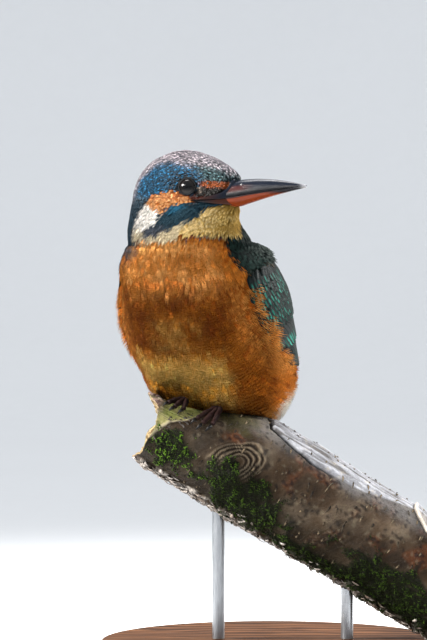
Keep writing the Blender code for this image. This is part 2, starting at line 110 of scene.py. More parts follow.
# quads between neighbouring rings of equal count
def gridFaces(rows, columns, flip=False):
    r, c = np.meshgrid(np.arange(rows - 1), np.arange(columns), indexing="ij")
    after = (c + 1) % columns
    quads = np.stack((r * columns + c, r * columns + after, (r + 1) * columns + after,
                      (r + 1) * columns + c), -1).reshape(-1, 4)
    return quads[:, ::-1] if flip else quads


# the same tube of rings with a flat face over each end
def cappedTube(rows, columns):
    last = (rows - 1) * columns
    caps = [tuple(range(columns)), tuple(range(last, last + columns))]
    return gridFaces(rows, columns).tolist() + caps


# the same tube with a fan over each end, round two points added after the rings' own
def fannedTube(rows, columns):
    faces, count = gridFaces(rows, columns).tolist(), rows * columns
    for k in range(columns):
        after = (k + 1) % columns
        faces.append((after, k, count))
        faces.append((count - columns + k, count - columns + after, count + 1))
    return faces


def linkObject(name, mesh):
    obj = bpy.data.objects.new(name, mesh)
    bpy.context.scene.collection.objects.link(obj)
    return obj


# per-vertex values: single numbers, vectors for those named here, and colours for the rest
def paintVerts(mesh, **layers):
    for name, values in layers.items():
        values = np.asarray(values, np.float32)
        if values.ndim == 1:
            mesh.attributes.new(name, "FLOAT", "POINT").data.foreach_set("value", values)
        elif name in ("lie", "out", "size", "patch", "vane"):
            mesh.attributes.new(name, "FLOAT_VECTOR", "POINT").data.foreach_set("vector", values.ravel())
        else:
            rgba = np.concatenate((values, np.ones((len(values), 1), np.float32)), 1)
            mesh.attributes.new(name, "FLOAT_COLOR", "POINT").data.foreach_set("color", rgba.ravel())


# a finished piece from points and faces, riding on the frame's body
def makePiece(name, points, faces, material, slot, nodes=(), **layers):
    mesh = bpy.data.meshes.new(name)
    mesh.from_pydata(points.tolist(), [], faces)
    paintVerts(mesh, **layers)
    mesh.validate()
    mesh.polygons.foreach_set("use_smooth", [True] * len(mesh.polygons))
    mesh.materials.append(material)
    return finishPiece(linkObject(name, mesh), nodes)


def finishPiece(obj, nodes=()):
    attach(obj, "root")
    if nodes:
        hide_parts(*nodes)
    print("  ", obj.name, len(obj.data.polygons), "faces")
    return obj


def addNode(tree, kind, inputs=None, **settings):
    made = tree.nodes.new(kind)
    for key, value in settings.items():
        setattr(made, key, value)
    for key, value in (inputs or {}).items():
        feed(tree, made.inputs[key], value)
    return made


def feed(tree, socket, value):
    if isinstance(value, bpy.types.NodeSocket):
        tree.links.new(value, socket)
    elif value is not None:
        socket.default_value = value


def calc(tree, operation, a, b=None, c=None):
    made = addNode(tree, "ShaderNodeMath", {0: a, 1: b, 2: c}, operation=operation)
    return made.outputs[0]


def scaled(tree, vector, factor):
    made = addNode(tree, "ShaderNodeVectorMath", {0: vector}, operation="SCALE")
    feed(tree, made.inputs["Scale"], factor)
    return made.outputs[0]


# smooth step of a value from low to high
def spread(tree, value, low, high, to=(0.0, 1.0)):
    made = addNode(tree, "ShaderNodeMapRange", {"Value": value, "From Min": low, "From Max": high,
                                                "To Min": to[0], "To Max": to[1]},
                   interpolation_type="SMOOTHSTEP")
    return made.outputs["Result"]


def blendColour(tree, factor, a, b):
    made = addNode(tree, "ShaderNodeMix", data_type="RGBA")
    feed(tree, made.inputs[0], factor)
    feed(tree, made.inputs[6], a)
    feed(tree, made.inputs[7], b)
    return made.outputs[2]


def rgba(hexColour):
    return (*linear(hexColour), 1.0)


# noise from 0 to 1 on object coordinates, with features about size across
def grain(tree, place, size, detail=3.0, rough=0.55, stretch=None):
    if stretch:
        place = addNode(tree, "ShaderNodeMapping", {"Vector": place, "Scale": stretch}).outputs[0]
    made = addNode(tree, "ShaderNodeTexNoise", {"Vector": place, "Scale": 1 / size, "Detail": detail,
                                                "Roughness": rough})
    return made.outputs[0]


# empty shader group with named sockets; returns the tree, its inputs and its output node
def newGroup(name, inputs, outputs):
    tree = bpy.data.node_groups.new(name, "ShaderNodeTree")
    for label, kind, value in inputs:
        socket = tree.interface.new_socket(label, in_out="INPUT", socket_type=kind)
        socket.default_value = value
    for label, kind in outputs:
        tree.interface.new_socket(label, in_out="OUTPUT", socket_type=kind)
    return tree, tree.nodes.new("NodeGroupInput").outputs, tree.nodes.new("NodeGroupOutput").inputs


def useGroup(tree, group, inputs):
    made = addNode(tree, "ShaderNodeGroup", node_tree=group)
    for key, value in inputs.items():
        feed(tree, made.inputs[key], value)
    return made.outputs


# principled material; fixed values go straight onto the shader's own sockets
def newMaterial(name, roughness, **fixed):
    mat = bpy.data.materials.new(name)
    mat.use_nodes = True
    tree = mat.node_tree
    shader = tree.nodes["Principled BSDF"]
    shader.inputs["Roughness"].default_value = roughness
    for key, value in fixed.items():
        shader.inputs[key.replace("_", " ")].default_value = value
    return mat, tree, shader


def objectPlace(tree):
    return addNode(tree, "ShaderNodeTexCoord").outputs["Object"]


# object coordinates after a Rotation or Scale
def mappedPlace(tree, **change):
    return addNode(tree, "ShaderNodeMapping", {"Vector": objectPlace(tree), **change}).outputs[0]


def colourLayer(tree, name):
    return addNode(tree, "ShaderNodeAttribute", attribute_name=name).outputs["Color"]


def setColour(tree, shader, colour):
    tree.links.new(colour, shader.inputs["Base Color"])


# roughness running from one value to another as a texture goes from low to high
def setRoughness(tree, shader, value, low, high, start, end):
    tree.links.new(spread(tree, value, low, high, to=(start, end)), shader.inputs["Roughness"])


def addBump(tree, shader, height, depth, strength=1.0):
    bump = addNode(tree, "ShaderNodeBump", {"Height": height, "Distance": depth, "Strength": strength})
    tree.links.new(bump.outputs[0], shader.inputs["Normal"])


# uneven colour at two scales: broad patches and fine flecks
def makeSpeckleGroup():
    tree, given, result = newGroup(
        "speckle",
        [("Colour", "NodeSocketColor", (0.5, 0.5, 0.5, 1.0)), ("Patch Size", "NodeSocketFloat", 0.01),
         ("Fleck Size", "NodeSocketFloat", 0.001), ("Amount", "NodeSocketFloat", 0.3)],
        [("Colour", "NodeSocketColor"), ("Height", "NodeSocketFloat")])
    place = objectPlace(tree)
    patches = addNode(tree, "ShaderNodeTexNoise", {"Vector": place, "Detail": 2.0,
                                                   "Scale": calc(tree, "DIVIDE", 1.0, given["Patch Size"])})
    flecks = addNode(tree, "ShaderNodeTexNoise", {"Vector": place, "Detail": 4.0, "Roughness": 0.65,
                                                  "Scale": calc(tree, "DIVIDE", 1.0, given["Fleck Size"])})
    both = calc(tree, "ADD", calc(tree, "MULTIPLY", patches.outputs[0], 0.6),
                calc(tree, "MULTIPLY", flecks.outputs[0], 0.4))
    swing = calc(tree, "MULTIPLY", calc(tree, "SUBTRACT", both, 0.5), 4.0)
    gain = calc(tree, "MULTIPLY_ADD", swing, given["Amount"], 1.0)
    tree.links.new(scaled(tree, given["Colour"], gain), result["Colour"])
    tree.links.new(both, result["Height"])
    return tree


# feather web from its own vane coordinates: slanting barbs, a shaft and a tip colour
def makeBarbGroup():
    tree, given, result = newGroup(
        "feather web",
        [("Barbs", "NodeSocketFloat", 40.0), ("Depth", "NodeSocketFloat", 0.2),
         ("Tip From", "NodeSocketFloat", 0.6), ("Tip Width", "NodeSocketFloat", 0.7)],
        [("Colour", "NodeSocketColor"), ("Height", "NodeSocketFloat")])
    web = addNode(tree, "ShaderNodeAttribute", attribute_name="vane").outputs["Vector"]
    split = addNode(tree, "ShaderNodeSeparateXYZ", {0: web}).outputs
    across = calc(tree, "ABSOLUTE", calc(tree, "MULTIPLY_ADD", split[0], 2.0, -1.0))
    slant = calc(tree, "MULTIPLY_ADD", across, -0.22, split[1])
    wave = calc(tree, "SINE", calc(tree, "MULTIPLY", slant, calc(tree, "MULTIPLY", given["Barbs"], tau)))
    shaft = spread(tree, across, 0.0, 0.12, to=(1.0, 0.0))
    tip = spread(tree, split[1], given["Tip From"], calc(tree, "ADD", given["Tip From"], 0.22))
    inside = spread(tree, across, given["Tip Width"], calc(tree, "MULTIPLY", given["Tip Width"], 0.45))
    plume = blendColour(tree, calc(tree, "MULTIPLY", tip, inside), colourLayer(tree, "plume"),
                        colourLayer(tree, "plumeTip"))
    shade = calc(tree, "MULTIPLY_ADD", wave, calc(tree, "MULTIPLY", given["Depth"], 0.5), 1.0)
    shade = calc(tree, "MULTIPLY_ADD", shaft, -0.25, shade)
    tree.links.new(scaled(tree, plume, shade), result["Colour"])
    tree.links.new(calc(tree, "MULTIPLY_ADD", shaft, 0.6, wave), result["Height"])
    return tree


speckleGroup = makeSpeckleGroup()
barbGroup = makeBarbGroup()


# base colour with patches and flecks; hands back the group's outputs for a bump
def mottle(tree, shader, colour, patchSize, fleckSize, amount):
    mottled = useGroup(tree, speckleGroup, {"Colour": colour, "Patch Size": patchSize,
                                            "Fleck Size": fleckSize, "Amount": amount})
    setColour(tree, shader, mottled["Colour"])
    return mottled


def plumageMaterial(name, roughness, barbs, depth, tipFrom, tipWidth, bump, **fixed):
    mat, tree, shader = newMaterial(name, roughness, **fixed)
    web = useGroup(tree, barbGroup,
                   {"Barbs": barbs, "Depth": depth, "Tip From": tipFrom, "Tip Width": tipWidth})
    mottle(tree, shader, web["Colour"], 6 * mm, 0.5 * mm, 0.25)
    addBump(tree, shader, web["Height"], bump)
    return mat


bodyShape = {
    "bodyYaw": math.radians(30.0), "headYaw": math.radians(36.0),
    "bodyX": -36.2 * mm, "bodyY": -14.0 * mm, "headX": -34.5 * mm, "headY": -16.5 * mm,
    "crownTop": 202.0, "capStart": 201.0, "superellipse": 2.15,
    "mantleFlare": 5.0 * mm, "mantleSide": math.radians(65.0), "mantleTop": 177.5, "mantleReach": 11.5,
    "neckTop": 115.0, "neckBlend": 104.5, "throatHeight": 168.0,
}
# place along the bird, forward, height, lean in degrees, half width, belly, back (mm)
bodyRows = (
    (0, -71, 66, 40, 11.5, 0.9, 0.8),
    (18, -59, 80, 40, 11, 2, 1.5),
    (34, -49.5, 94, 38, 17, 10, 4.8),
    (46, -42.5, 104.5, 36, 26.4, 20.5, 9.5),
    (57, -34.5, 114.5, 34, 31.2, 25, 15),
    (71, -24.5, 127, 31, 34.5, 26.5, 20.2),
    (87, -16.5, 142, 27, 35.2, 27, 23),
    (100, -11.5, 154, 19, 32, 26, 21.5),
    (108, -8.5, 161.5, 10, 30.5, 24.5, 20.5),
    (115, -4, 168, 0, 26, 20.5, 21),
)
# height, reach to the bill, reach to the nape, half width (mm), how much the front narrows
headRows = (
    (158, 23, 26, 20, 0.10),
    (168, 24.8, 26.3, 19, 0.15),
    (173, 23.6, 26.2, 18.2, 0.25),
    (178, 24.6, 25.5, 17.2, 0.40),
    (183, 26.4, 24.6, 16.2, 0.52),
    (188, 27, 23.3, 15.3, 0.56),
    (192, 24.6, 21.5, 14, 0.45),
    (196, 18.8, 18.2, 12, 0.25),
    (199, 12.6, 13.6, 9.2, 0.10),
    (201, 6.8, 8, 5.6, 0),
)
up = np.array((0.0, 0.0, 1.0))
forward = np.array((-math.sin(bodyShape["bodyYaw"]), -math.cos(bodyShape["bodyYaw"]), 0.0))
leftward = np.array((math.cos(bodyShape["bodyYaw"]), -math.sin(bodyShape["bodyYaw"]), 0.0))
billward = np.array((math.cos(bodyShape["headYaw"]), -math.sin(bodyShape["headYaw"]), 0.0))
faceRight = np.array((-math.sin(bodyShape["headYaw"]), -math.cos(bodyShape["headYaw"]), 0.0))
headTurn = math.atan2(-billward @ forward, billward @ leftward)
crownPlace = bodyShape["neckTop"] + bodyShape["crownTop"] - bodyShape["throatHeight"]


# point of the head's surface on the level ring at a height in mm
def headPoint(height, angle, proud=0.0):
    reach, nape, half, narrow = np.moveaxis(smoothTable(headRows, height), -1, 0)
    along, across = np.cos(angle - headTurn), np.sin(angle - headTurn)
    toBack = np.maximum(0, np.cos(angle - bodyShape["mantleSide"])) ** 2
    flare = toBack * smooth((bodyShape["mantleTop"] - height) / bodyShape["mantleReach"])
    proud = proud + bodyShape["mantleFlare"] * flare
    cap = (bodyShape["crownTop"] - height) / (bodyShape["crownTop"] - bodyShape["capStart"])
    cap = np.sqrt(np.clip(cap, 0, 1))[..., None]
    length = np.where(along > 0.0, reach, nape) * mm + proud
    width = half * mm * (1.0 - narrow * np.maximum(along, 0) ** 1.5) + proud
    sideways = (along * length)[..., None] * billward - (across * width)[..., None] * faceRight
    axis = np.array((bodyShape["headX"], bodyShape["headY"], 0.0))
    return axis + sideways * cap + (np.asarray(height) * mm)[..., None] * up


# centre line, backward direction and reaches of the body at each place
def bodyAxes(place):
    ahead, height, lean, half, belly, back = np.moveaxis(smoothTable(bodyRows, place), -1, 0)
    lean = np.radians(lean)[..., None]
    backward = up * np.sin(lean) - forward * np.cos(lean)
    centre = np.array((bodyShape["bodyX"], bodyShape["bodyY"], 0.0))
    centre = centre + (ahead * mm)[..., None] * forward + (height * mm)[..., None] * up
    return centre, backward, half * mm, belly * mm, back * mm, height


# point of the tail, trunk or neck: angle 0 is the bird's left side and 90 its back
def bodyPoint(place, angle, proud=0.0):
    centre, backward, half, belly, back, height = bodyAxes(place)
    power = 2.0 / bodyShape["superellipse"]
    side = np.sign(np.cos(angle)) * np.abs(np.cos(angle)) ** power
    dorsal = np.sign(np.sin(angle)) * np.abs(np.sin(angle)) ** power
    depth = np.where(dorsal > 0.0, back, belly) + proud
    ring = centre + (side * (half + proud))[..., None] * leftward + (dorsal * depth)[..., None] * backward
    headward = smooth(place, bodyShape["neckBlend"], bodyShape["neckTop"])[..., None]
    return ring * (1.0 - headward) + headPoint(height, angle, proud) * headward


# point of the whole bird: places 0 to 115 are tail to neck, and above that each mm of the head
def birdPoint(place, angle, proud=0.0):
    place, angle, proud = np.broadcast_arrays(np.asarray(place, float), angle, proud)
    low = bodyPoint(np.minimum(place, bodyShape["neckTop"]), angle, proud)
    height = bodyShape["throatHeight"] + place - bodyShape["neckTop"]
    high = headPoint(np.minimum(height, bodyShape["crownTop"]), angle, proud)
    return np.where((place > bodyShape["neckTop"])[..., None], high, low)


# point, outward normal and the two tangents, per mm of place and per radian of angle
def surfaceFrame(place, angle):
    point = birdPoint(place, angle)
    low, high = np.maximum(place - 0.4, 0), np.minimum(place + 0.4, crownPlace)
    alongPlace = (birdPoint(high, angle) - birdPoint(low, angle)) / (high - low)[..., None]
    alongAngle = (birdPoint(place, angle + 0.02) - birdPoint(place, angle - 0.02)) / 0.04
    return point, unit(np.cross(alongAngle, alongPlace)), alongPlace, alongAngle


def wrapped(angle):
    return (np.asarray(angle) + math.pi) % tau - math.pi


# degrees round the head from the bill, 0 to 180 on either side
def fromBill(angle):
    return np.degrees(np.abs(wrapped(angle - headTurn)))


# degrees round the body from the middle of the belly, 180 at the back
def fromBelly(angle):
    return np.degrees(np.abs(wrapped(angle + math.pi / 2)))


# how far the skin lies inside the outline of the coat, in mm at each place
coatRows = ((0, 0.35), (18, 0.6), (34, 1.3), (46, 1.7), (60, 1.9), (100, 1.8), (112, 1.6),
            (118, 1.3), (125, 0.9), (132, 0.6), (149, 0.6))


def coatDepth(place):
    return smoothTable(coatRows, place)[..., 0] * mm


eye = {
    "radius": 3.9 * mm, "height": 186.9, "angle": math.radians(70.0), "depth": 2.75 * mm,
    "opening": 3.0 * mm, "lid": 0.45 * mm, "pupilSize": 0.42,
    "iris": "0c0705", "pupil": "010102", "lidUpper": "08090b", "lidRimHighlight": "1e2226",
}
billRoot = headPoint(np.array(183.5), np.array(headTurn))


# centre of the eyeball and the direction it looks, side +1 being the bird's left
def eyeFrame(side):
    place = np.array(bodyShape["neckTop"] + eye["height"] - bodyShape["throatHeight"])
    angle = np.array(headTurn + side * eye["angle"])
    gaze = surfaceFrame(place, angle)[1]
    return headPoint(np.array(eye["height"]), angle, -eye["depth"]), gaze


# how far each point is from the nearer eye's line of sight
def eyeDistance(points):
    nearest = np.full(len(points), 1.0)
    for side in (1, -1):
        centre, gaze = eyeFrame(side)
        offset = points - centre
        radial = np.linalg.norm(offset - (offset @ gaze)[:, None] * gaze, axis=1)
        nearest = np.where(offset @ gaze > 0.0, np.minimum(nearest, radial), nearest)
    return nearest


print("shape ready")


plumageColours = {
    # the crown's top colour and its pale glints are a painted sheen over the blue crown
    "crown": "08161f", "crownSpot": "1d6289", "crownTop": "3f3e45", "crownSheenGlint": "aaa0a6",
    "forehead": "15282c", "foreheadSpot": "4d6f74", "nape": "161f26", "napeSpot": "3c4f5c",
    "lore": "94481a", "loreLine": "14110e", "loreSpot": "84766a", "orbit": "0b0c0e", "gape": "4a1f14",
    "ear": "a65c28", "earTip": "dc9f68", "white": "e8e3dc", "cream": "ecd8ae",
    "malar": "253d49", "malarSpot": "265a74", "malarGrey": "4c4f59",
    # the colour below the throat is a painted shadow under its overhang
    "throat": "a8853f", "throatTip": "dcbc74", "throatShadow": "5a260c",
    # of the breast colours, the palest is a painted highlight and the darkest a painted shade
    "breast": "b55c14", "breastTip": "da8430", "breastHighlight": "f6b064", "breastShade": "6a3009",
    "lowerBreast": "7c4008", "lowerTip": "9a5814", "belly": "d6922f", "bellyTip": "fdc76b",
    # the pale fringe colour is partly a painted glow of backlight through the overhanging feathers
    "flank": "9c480e", "flankTip": "cc7220", "fringeFoot": "b05e1c", "fringe": "f2a654",
    "breastSide": "101918", "breastSideTip": "20342f", "shoulder": "15201f", "shoulderTip": "4a534f",
    "back": "1f7fb8", "backTip": "49b6e2", "rump": "2a6fc0", "rumpTip": "4c9ae8",
    "mantle": "1b444b", "mantleTip": "2c6a70", "tailUpper": "1c3f66", "tailUnder": "3a3f45",
    "ventOrange": "d48a3e", "ventBacklitWhite": "fff6e8",
}
ink = {name: linear(value) for name, value in plumageColours.items()}


# one of the plumage colours laid over another through a mask
def lay(colour, mask, name):
    mask = np.clip(mask, 0, 1)[:, None]
    return colour * (1.0 - mask) + ink[name] * mask


# where orange gives way to the dark shoulder, in degrees from the belly
def sideEdge(place):
    return np.interp(place, (84, 96, 102, 106.5, 110, 115), (80, 78, 70, 66, 63, 63))


# colour at the foot and at the tip of the feathers at each place of the bird; below, s is the
# place with a ragged edge, b the degrees from the belly and f the degrees from the bill
def markings(place, angle, points):
    b, f = fromBelly(angle), fromBill(angle)
    ragged = cloud(points, 3 * mm, 1)
    broad = cloud(points, 9 * mm, 2)
    fine = cloud(points, 4.5 * mm, 3)
    s = place + 0.9 * ragged
    count = len(points)
    base, tip = np.tile(ink["breast"], (count, 1)), np.tile(ink["breastTip"], (count, 1))

    def both(mask, foot, end=None):
        nonlocal base, tip
        base, tip = lay(base, mask, foot), lay(tip, mask, end or foot)

    # breast, belly and flanks
    low = smooth(s, 101, 90)
    both(low * 0.8, "lowerBreast", "lowerTip")
    # painted highlight: the upper front of the breast made paler where the light falls on it, in wavy
    # scallops
    scallop = smooth(np.sin(place * 1.15 + 0.03 * b + 3.4 * broad) + 1.9 * fine, -0.2, 1)
    light = smooth(s + 3.0 * broad, 94, 104) * smooth(s, 113.6, 111.5) * smooth(b + 8 * broad, 62, 36)
    both(light * (0.25 + 0.75 * scallop) * 0.75, "breastHighlight")
    # painted shade over the middle of the breast front, darker still in broad patches
    midBreastShade = within(s, 78, 85, 104, 97) * smooth(b, 66, 42)
    both(midBreastShade * 0.6, "breastShade", "lowerBreast")
    both(midBreastShade * smooth(broad + 0.5 * fine, -0.15, 0.40) * 0.85, "breastShade")
    both(within(s, 78, 84, 96, 88) * smooth(b, 26, 10)
         * smooth(fine + 0.4 * broad, -0.5, 0.3) * 0.35, "belly", "bellyTip")
    both(smooth(b, 36, 52) * smooth(s, 98, 86) * 0.9, "flank", "flankTip")
    margin = wingShare(place, angle)
    # breast feathers hanging over the wing's front edge: the orange is their own, the paler tips a painted
    # glow of backlight through them
    both(smooth(margin, -0.30, -0.02) * smooth(b, 112, 100) * within(s, 104, 98, 56, 64) * 0.6,
         "fringeFoot", "fringe")
    jag = 2.6 * ragged + 3.4 * fine
    aside = b + 12.0 * np.cos(angle) + 5.0 * ragged
    both(smooth(s + jag, 80, 74) * smooth(aside, 44, 26) * 0.95, "belly", "bellyTip")
    both(smooth(s + jag, 63, 57) * smooth(b, 60, 40) * 0.8, "lowerBreast", "lowerTip")
    both(smooth(s, 54, 48) * smooth(b, 110, 95), "ventOrange")
    # a pale strip under the tail, brightened to near white as painted backlight
    both(smooth(s + ragged, 52, 46) * within(b, 56, 70, 112, 102), "ventBacklitWhite")
    # painted shadow on the breast just under the overhanging throat
    both(smooth(s + 0.6 * fine, 112.2, 114.2) * smooth(f, 100, 85) * 0.7, "throatShadow", "breastShade")
    both(smooth(b + 3.0 * ragged - sideEdge(place), -2, 2.5) * smooth(s, 99, 103),
         "breastSide", "breastSideTip")

    # back, rump and tail
    both(smooth(s, 42, 36) * smooth(b, 90, 80), "tailUnder")
    both(smooth(b, 100, 112) * smooth(s, 30, 36), "mantle", "mantleTip")
    both(smooth(b, 92, 106) * within(s, 97, 101, 116, 113), "shoulder", "shoulderTip")
    both(smooth(b, 138, 152), "back", "backTip")
    both(smooth(b, 100, 112) * smooth(s, 66, 54), "rump", "rumpTip")
    both(smooth(s, 38, 34) * smooth(b, 80, 90), "tailUpper")

    # crown, nape and forehead
    crown = smooth(s, 113.4, 114.6)
    nape = np.maximum(crown, smooth(s, 106, 111) * smooth(f, 112, 126))
    both(nape, "nape", "napeSpot")
    high = smooth(s, 129.5, 132.5) * crown
    both(high * smooth(f, 150, 120), "crown", "crownSpot")
    both(high * smooth(f, 62, 48), "forehead", "foreheadSpot")
    # painted sheen: the top of the crown turned pinkish grey with pale glints where light glances off it
    sheenEdge = np.interp(f, (22, 32, 40, 51, 62, 74, 89, 105, 119, 128, 140),
                        (138, 140.2, 141.5, 142, 142.7, 143.5, 143.8, 143.3, 141, 138.5, 136))
    top = smooth(s + 1.2 * fine - sheenEdge, -1.8, 1.8)
    both(top, "crownTop", "crownSheenGlint")
    # the same painted sheen on the back of the crown
    both(smooth(f, 126, 142) * smooth(s, 126, 136) * 0.75, "crownTop", "crownSheenGlint")

    # edges of the malar stripe, throat, ear patch and white neck patch
    malarTop = np.interp(f, (0, 40, 50, 62, 70, 79, 84, 89, 93, 96, 104, 112, 126, 135),
                         (129, 128.8, 128.4, 127.5, 127.5, 127, 125.2, 123.6, 121.8, 119.2, 117.8, 117,
                          115.5, 113))
    malarLow = np.interp(f, (58, 64, 68, 75, 87, 108, 120),
                         (122.5, 120.4, 119.2, 117.4, 115.6, 114.4, 113.6))
    throatTop = np.interp(f, (0, 16, 35, 46, 54, 60, 64, 68, 75),
                          (128.6, 128, 126.4, 125.2, 122.8, 120.6, 119, 116, 112.5))
    earLow = np.interp(f, (85, 89, 94, 101, 107, 112), (118, 123.3, 124.3, 124.8, 126, 128.3))
    earTop = np.interp(f, (58, 62, 67, 76, 83, 92, 104, 112, 122),
                       (127.4, 128.6, 129.9, 131.6, 132.2, 131.8, 130.8, 129.2, 127))
    napeEdge = np.interp(s, (114, 118, 121, 123.3, 125.3, 127.3, 130, 132),
                         (128, 126, 125, 122, 118, 114, 108, 104))
    band = smooth(s, 107, 111) * smooth(malarTop - s, -0.4, 0.4)
    both(band * smooth(f, 134, 126) * smooth(s - throatTop, -0.5, 0.5), "malar")
    spot = np.hypot((place - 125.2) / 1.9, (f - 77.0) / 7.5) + 0.25 * ragged
    both(smooth(spot, 1.2, 0.6), "malarSpot")
    both(band * smooth(s - throatTop, -0.5, 0.5) * smooth(s, 121, 116.5)
         * within(f, 72, 90, 134, 126) * 0.8, "malarGrey")
    both(band * smooth(s + 0.8 * fine - malarLow, 0.7, -0.7) * smooth(s - throatTop, -0.5, 0.5)
         * within(f, 60, 66, 120, 100) * 0.75, "cream")
    turned = np.degrees(wrapped(angle))
    shoulderTop = np.interp(turned, (-16, -4, 8, 20, 45), (113, 114.4, 117.2, 118.6, 121))
    throat = smooth(throatTop - s, -0.4, 0.4) * smooth(s, 114.2, 115) * smooth(f, 92, 80)
    both(throat, "throat", "throatTip")
    # painted light and shade on the pale throat: its lower sides made paler as lit, its middle left darker
    # olive as in shade
    both(throat * smooth(f, 26, 46) * smooth(s + fine, 114.5, 118) * 0.35, "throatTip", "cream")
    twisted = smooth(shoulderTop - s, -0.4, 0.6) * within(turned, -14, -6, 100, 80)
    both(twisted * crown, "shoulder", "shoulderTip")
    cheek = smooth(s - malarTop, -0.3, 0.4) * smooth(earTop - s, -0.4, 0.4)
    cheek = cheek * smooth(s - earLow, -0.3, 0.4) * crown
    both(cheek * smooth(f, 58, 63) * smooth(napeEdge - f, -3, 2), "ear", "earTip")
    behind = smooth(f, 86, 91) * smooth(earLow - s, -0.3, 0.5)
    both(smooth(s - malarTop, -0.3, 0.4) * behind * smooth(napeEdge - f, -3, 3), "white")
    both(within(s + fine, 119, 116, 111.5, 114) * within(f + 6 * fine, 108, 116, 134, 124) * 0.7, "cream")

    # face round the bill and eye
    loreHeight = place - np.interp(f, (30, 37, 47, 56), (134.5, 134.9, 135, 135.2))
    both(smooth(f, 66, 60) * smooth(loreHeight, -0.9, -1.5) * smooth(s, 128.3, 129.6), "loreLine")
    both(within(f, 25, 32, 60, 55) * smooth(np.abs(loreHeight + 0.4 * ragged), 1.8, 1), "lore")
    both(smooth(np.hypot((place - 133.0) / 1.5, (f - 58.5) / 2.2), 1.1, 0.7), "loreSpot")
    orbit = eyeDistance(points)
    both(smooth(orbit, 4.1 * mm, 3.5 * mm), "orbit")
    gape = np.abs(place - np.interp(f, (40, 66), (128.9, 129.6)))
    both(smooth(gape, 0.9, 0.5) * smooth(f, 68, 62), "gape")
    return base, tip


skin = {
    "columns": 240, "tailRows": 60, "trunkRows": 110, "headRows": 110, "eyeCrowding": 0.20,
    "tailEnd": 5.0, "rump": 40.0, "neck": 112.0, "shade": 0.75,
}


# one closed skin from tail to crown, inside the coat; it takes the place of all the nodes of flesh
def makeSkin():
    mat, tree, shader = newMaterial("skin under the coat", 0.8, Specular_IOR_Level=0.1)
    mottle(tree, shader, colourLayer(tree, "plume"), 3 * mm, 0.4 * mm, 0.35)
    pores = grain(tree, objectPlace(tree), 0.35 * mm, 3.0, 0.6)
    addBump(tree, shader, pores, 0.25 * mm, 0.8)

    turn = np.linspace(0, tau, skin["columns"], endpoint=False)
    angles = headTurn + turn + skin["eyeCrowding"] * np.sin(2 * turn)
    crownward = np.sin(np.linspace(0, math.pi / 2, skin["headRows"]))
    places = np.concatenate((np.linspace(skin["tailEnd"], skin["rump"], skin["tailRows"], endpoint=False),
                             np.linspace(skin["rump"], skin["neck"], skin["trunkRows"], endpoint=False),
                             skin["neck"] + (crownPlace - 0.03 - skin["neck"]) * crownward))
    s, a = np.meshgrid(places, angles, indexing="ij")
    points = birdPoint(s, a, -coatDepth(s)).reshape(-1, 3)
    outer = birdPoint(s, a).reshape(-1, 3)
    # the skin takes the markings darkened by a quarter: darker down, and painted shade in the gaps between
    # the tufts
    base = markings(s.ravel(), a.ravel(), outer)[0] * skin["shade"]
    tailEnd, crown = points[:len(turn)].mean(0), points[-len(turn):].mean(0)
    points = np.concatenate((points, [tailEnd, crown]))
    base = np.concatenate((base, [base[0], base[-1]]))
    makePiece("skin", points, fannedTube(len(places), len(turn)), mat, "plumage_orange",
              ("head", "neck", "trunk", "tail", "wing_left", "wing_right"), plume=base)


# one closed tapering strand of a tuft, lying along +Y and bowed up: points, faces, vane coordinates
def strand(lean, length, widths, steps, rise=(1.9, -1.1)):
    points, vane, faces = [], [], []
    for step, width in zip(steps[:-1], widths):
        y = length * step
        x = math.tan(lean) * y * (0.6 + 0.4 * step)
        z = rise[0] * step + rise[1] * step * step
        for side, lift in ((-0.5, 0.0), (0.0, 0.16 * width + 0.02), (0.5, 0.0)):
            points.append((x + side * width, y, z + lift * 1.4))
            vane.append((0.5 + side, step * length, 0.0))
    tipX = math.tan(lean) * length
    points.append((tipX, length, rise[0] + rise[1]))
    vane.append((0.5, length, 0.0))
    rings = len(steps) - 1
    for r in range(rings - 1):
        for k in range(3):
            after = (k + 1) % 3
            faces.append((3 * r + k, 3 * r + after, 3 * r + 3 + after, 3 * r + 3 + k))
    end = 3 * (rings - 1)
    for k in range(3):
        faces.append((end + k, end + (k + 1) % 3, 3 * rings))
    faces.append((2, 1, 0))
    return points, faces, vane


# a tuft or small feather of one or more strands, as a template for the coat
def featherShape(name, strands, home):
    points, faces, vane = [], [], []
    for each in strands:
        more, quads, uv = strand(**each)
        faces += [tuple(k + len(points) for k in face) for face in quads]
        points += more
        vane += uv
    mesh = bpy.data.meshes.new(name)
    mesh.from_pydata(points, [], faces)
    paintVerts(mesh, vane=np.array(vane))
    mesh.polygons.foreach_set("use_smooth", [True] * len(mesh.polygons))
    obj = bpy.data.objects.new(name, mesh)
    home.objects.link(obj)


# 0 rounded scale, 1 fine tuft for the face, 2 loose tuft, 3 long open fringe; width and length 1
def makeFeatherShapes():
    home = bpy.data.collections.new("feather shapes")
    featherShape("a scale", [dict(lean=0.0, length=1.0, widths=(0.55, 1.0, 0.85),
                                  steps=(0.0, 0.4, 0.8, 1.0))], home)
    fine = [(-0.30, 0.86), (-0.10, 1.0), (0.12, 0.93), (0.32, 0.82)]
    featherShape("b fine tuft", [dict(lean=lean, length=length, widths=(0.46, 0.36), steps=(0.0, 0.55, 1.0),
                                      rise=(1.8, -0.9)) for lean, length in fine], home)
    loose = [(-0.50, 0.74), (-0.28, 0.92), (-0.08, 1.0), (0.11, 0.88), (0.30, 0.97), (0.48, 0.78)]
    featherShape("c loose tuft", [dict(lean=lean, length=length, widths=(0.30, 0.22), steps=(0.0, 0.5, 1.0),
                                       rise=(1.7, -0.7)) for lean, length in loose], home)
    fringe = [(-0.55, 0.80), (-0.16, 1.0), (0.20, 0.92), (0.52, 0.72)]
    featherShape("d fringe tuft", [dict(lean=lean, length=length, widths=(0.26, 0.16),
                                        steps=(0.0, 0.5, 1.0), rise=(1.5, 0.1))
                                   for lean, length in fringe], home)
    return home


def removeShapes(home):
    for shape in list(home.objects):
        bpy.data.objects.remove(shape)


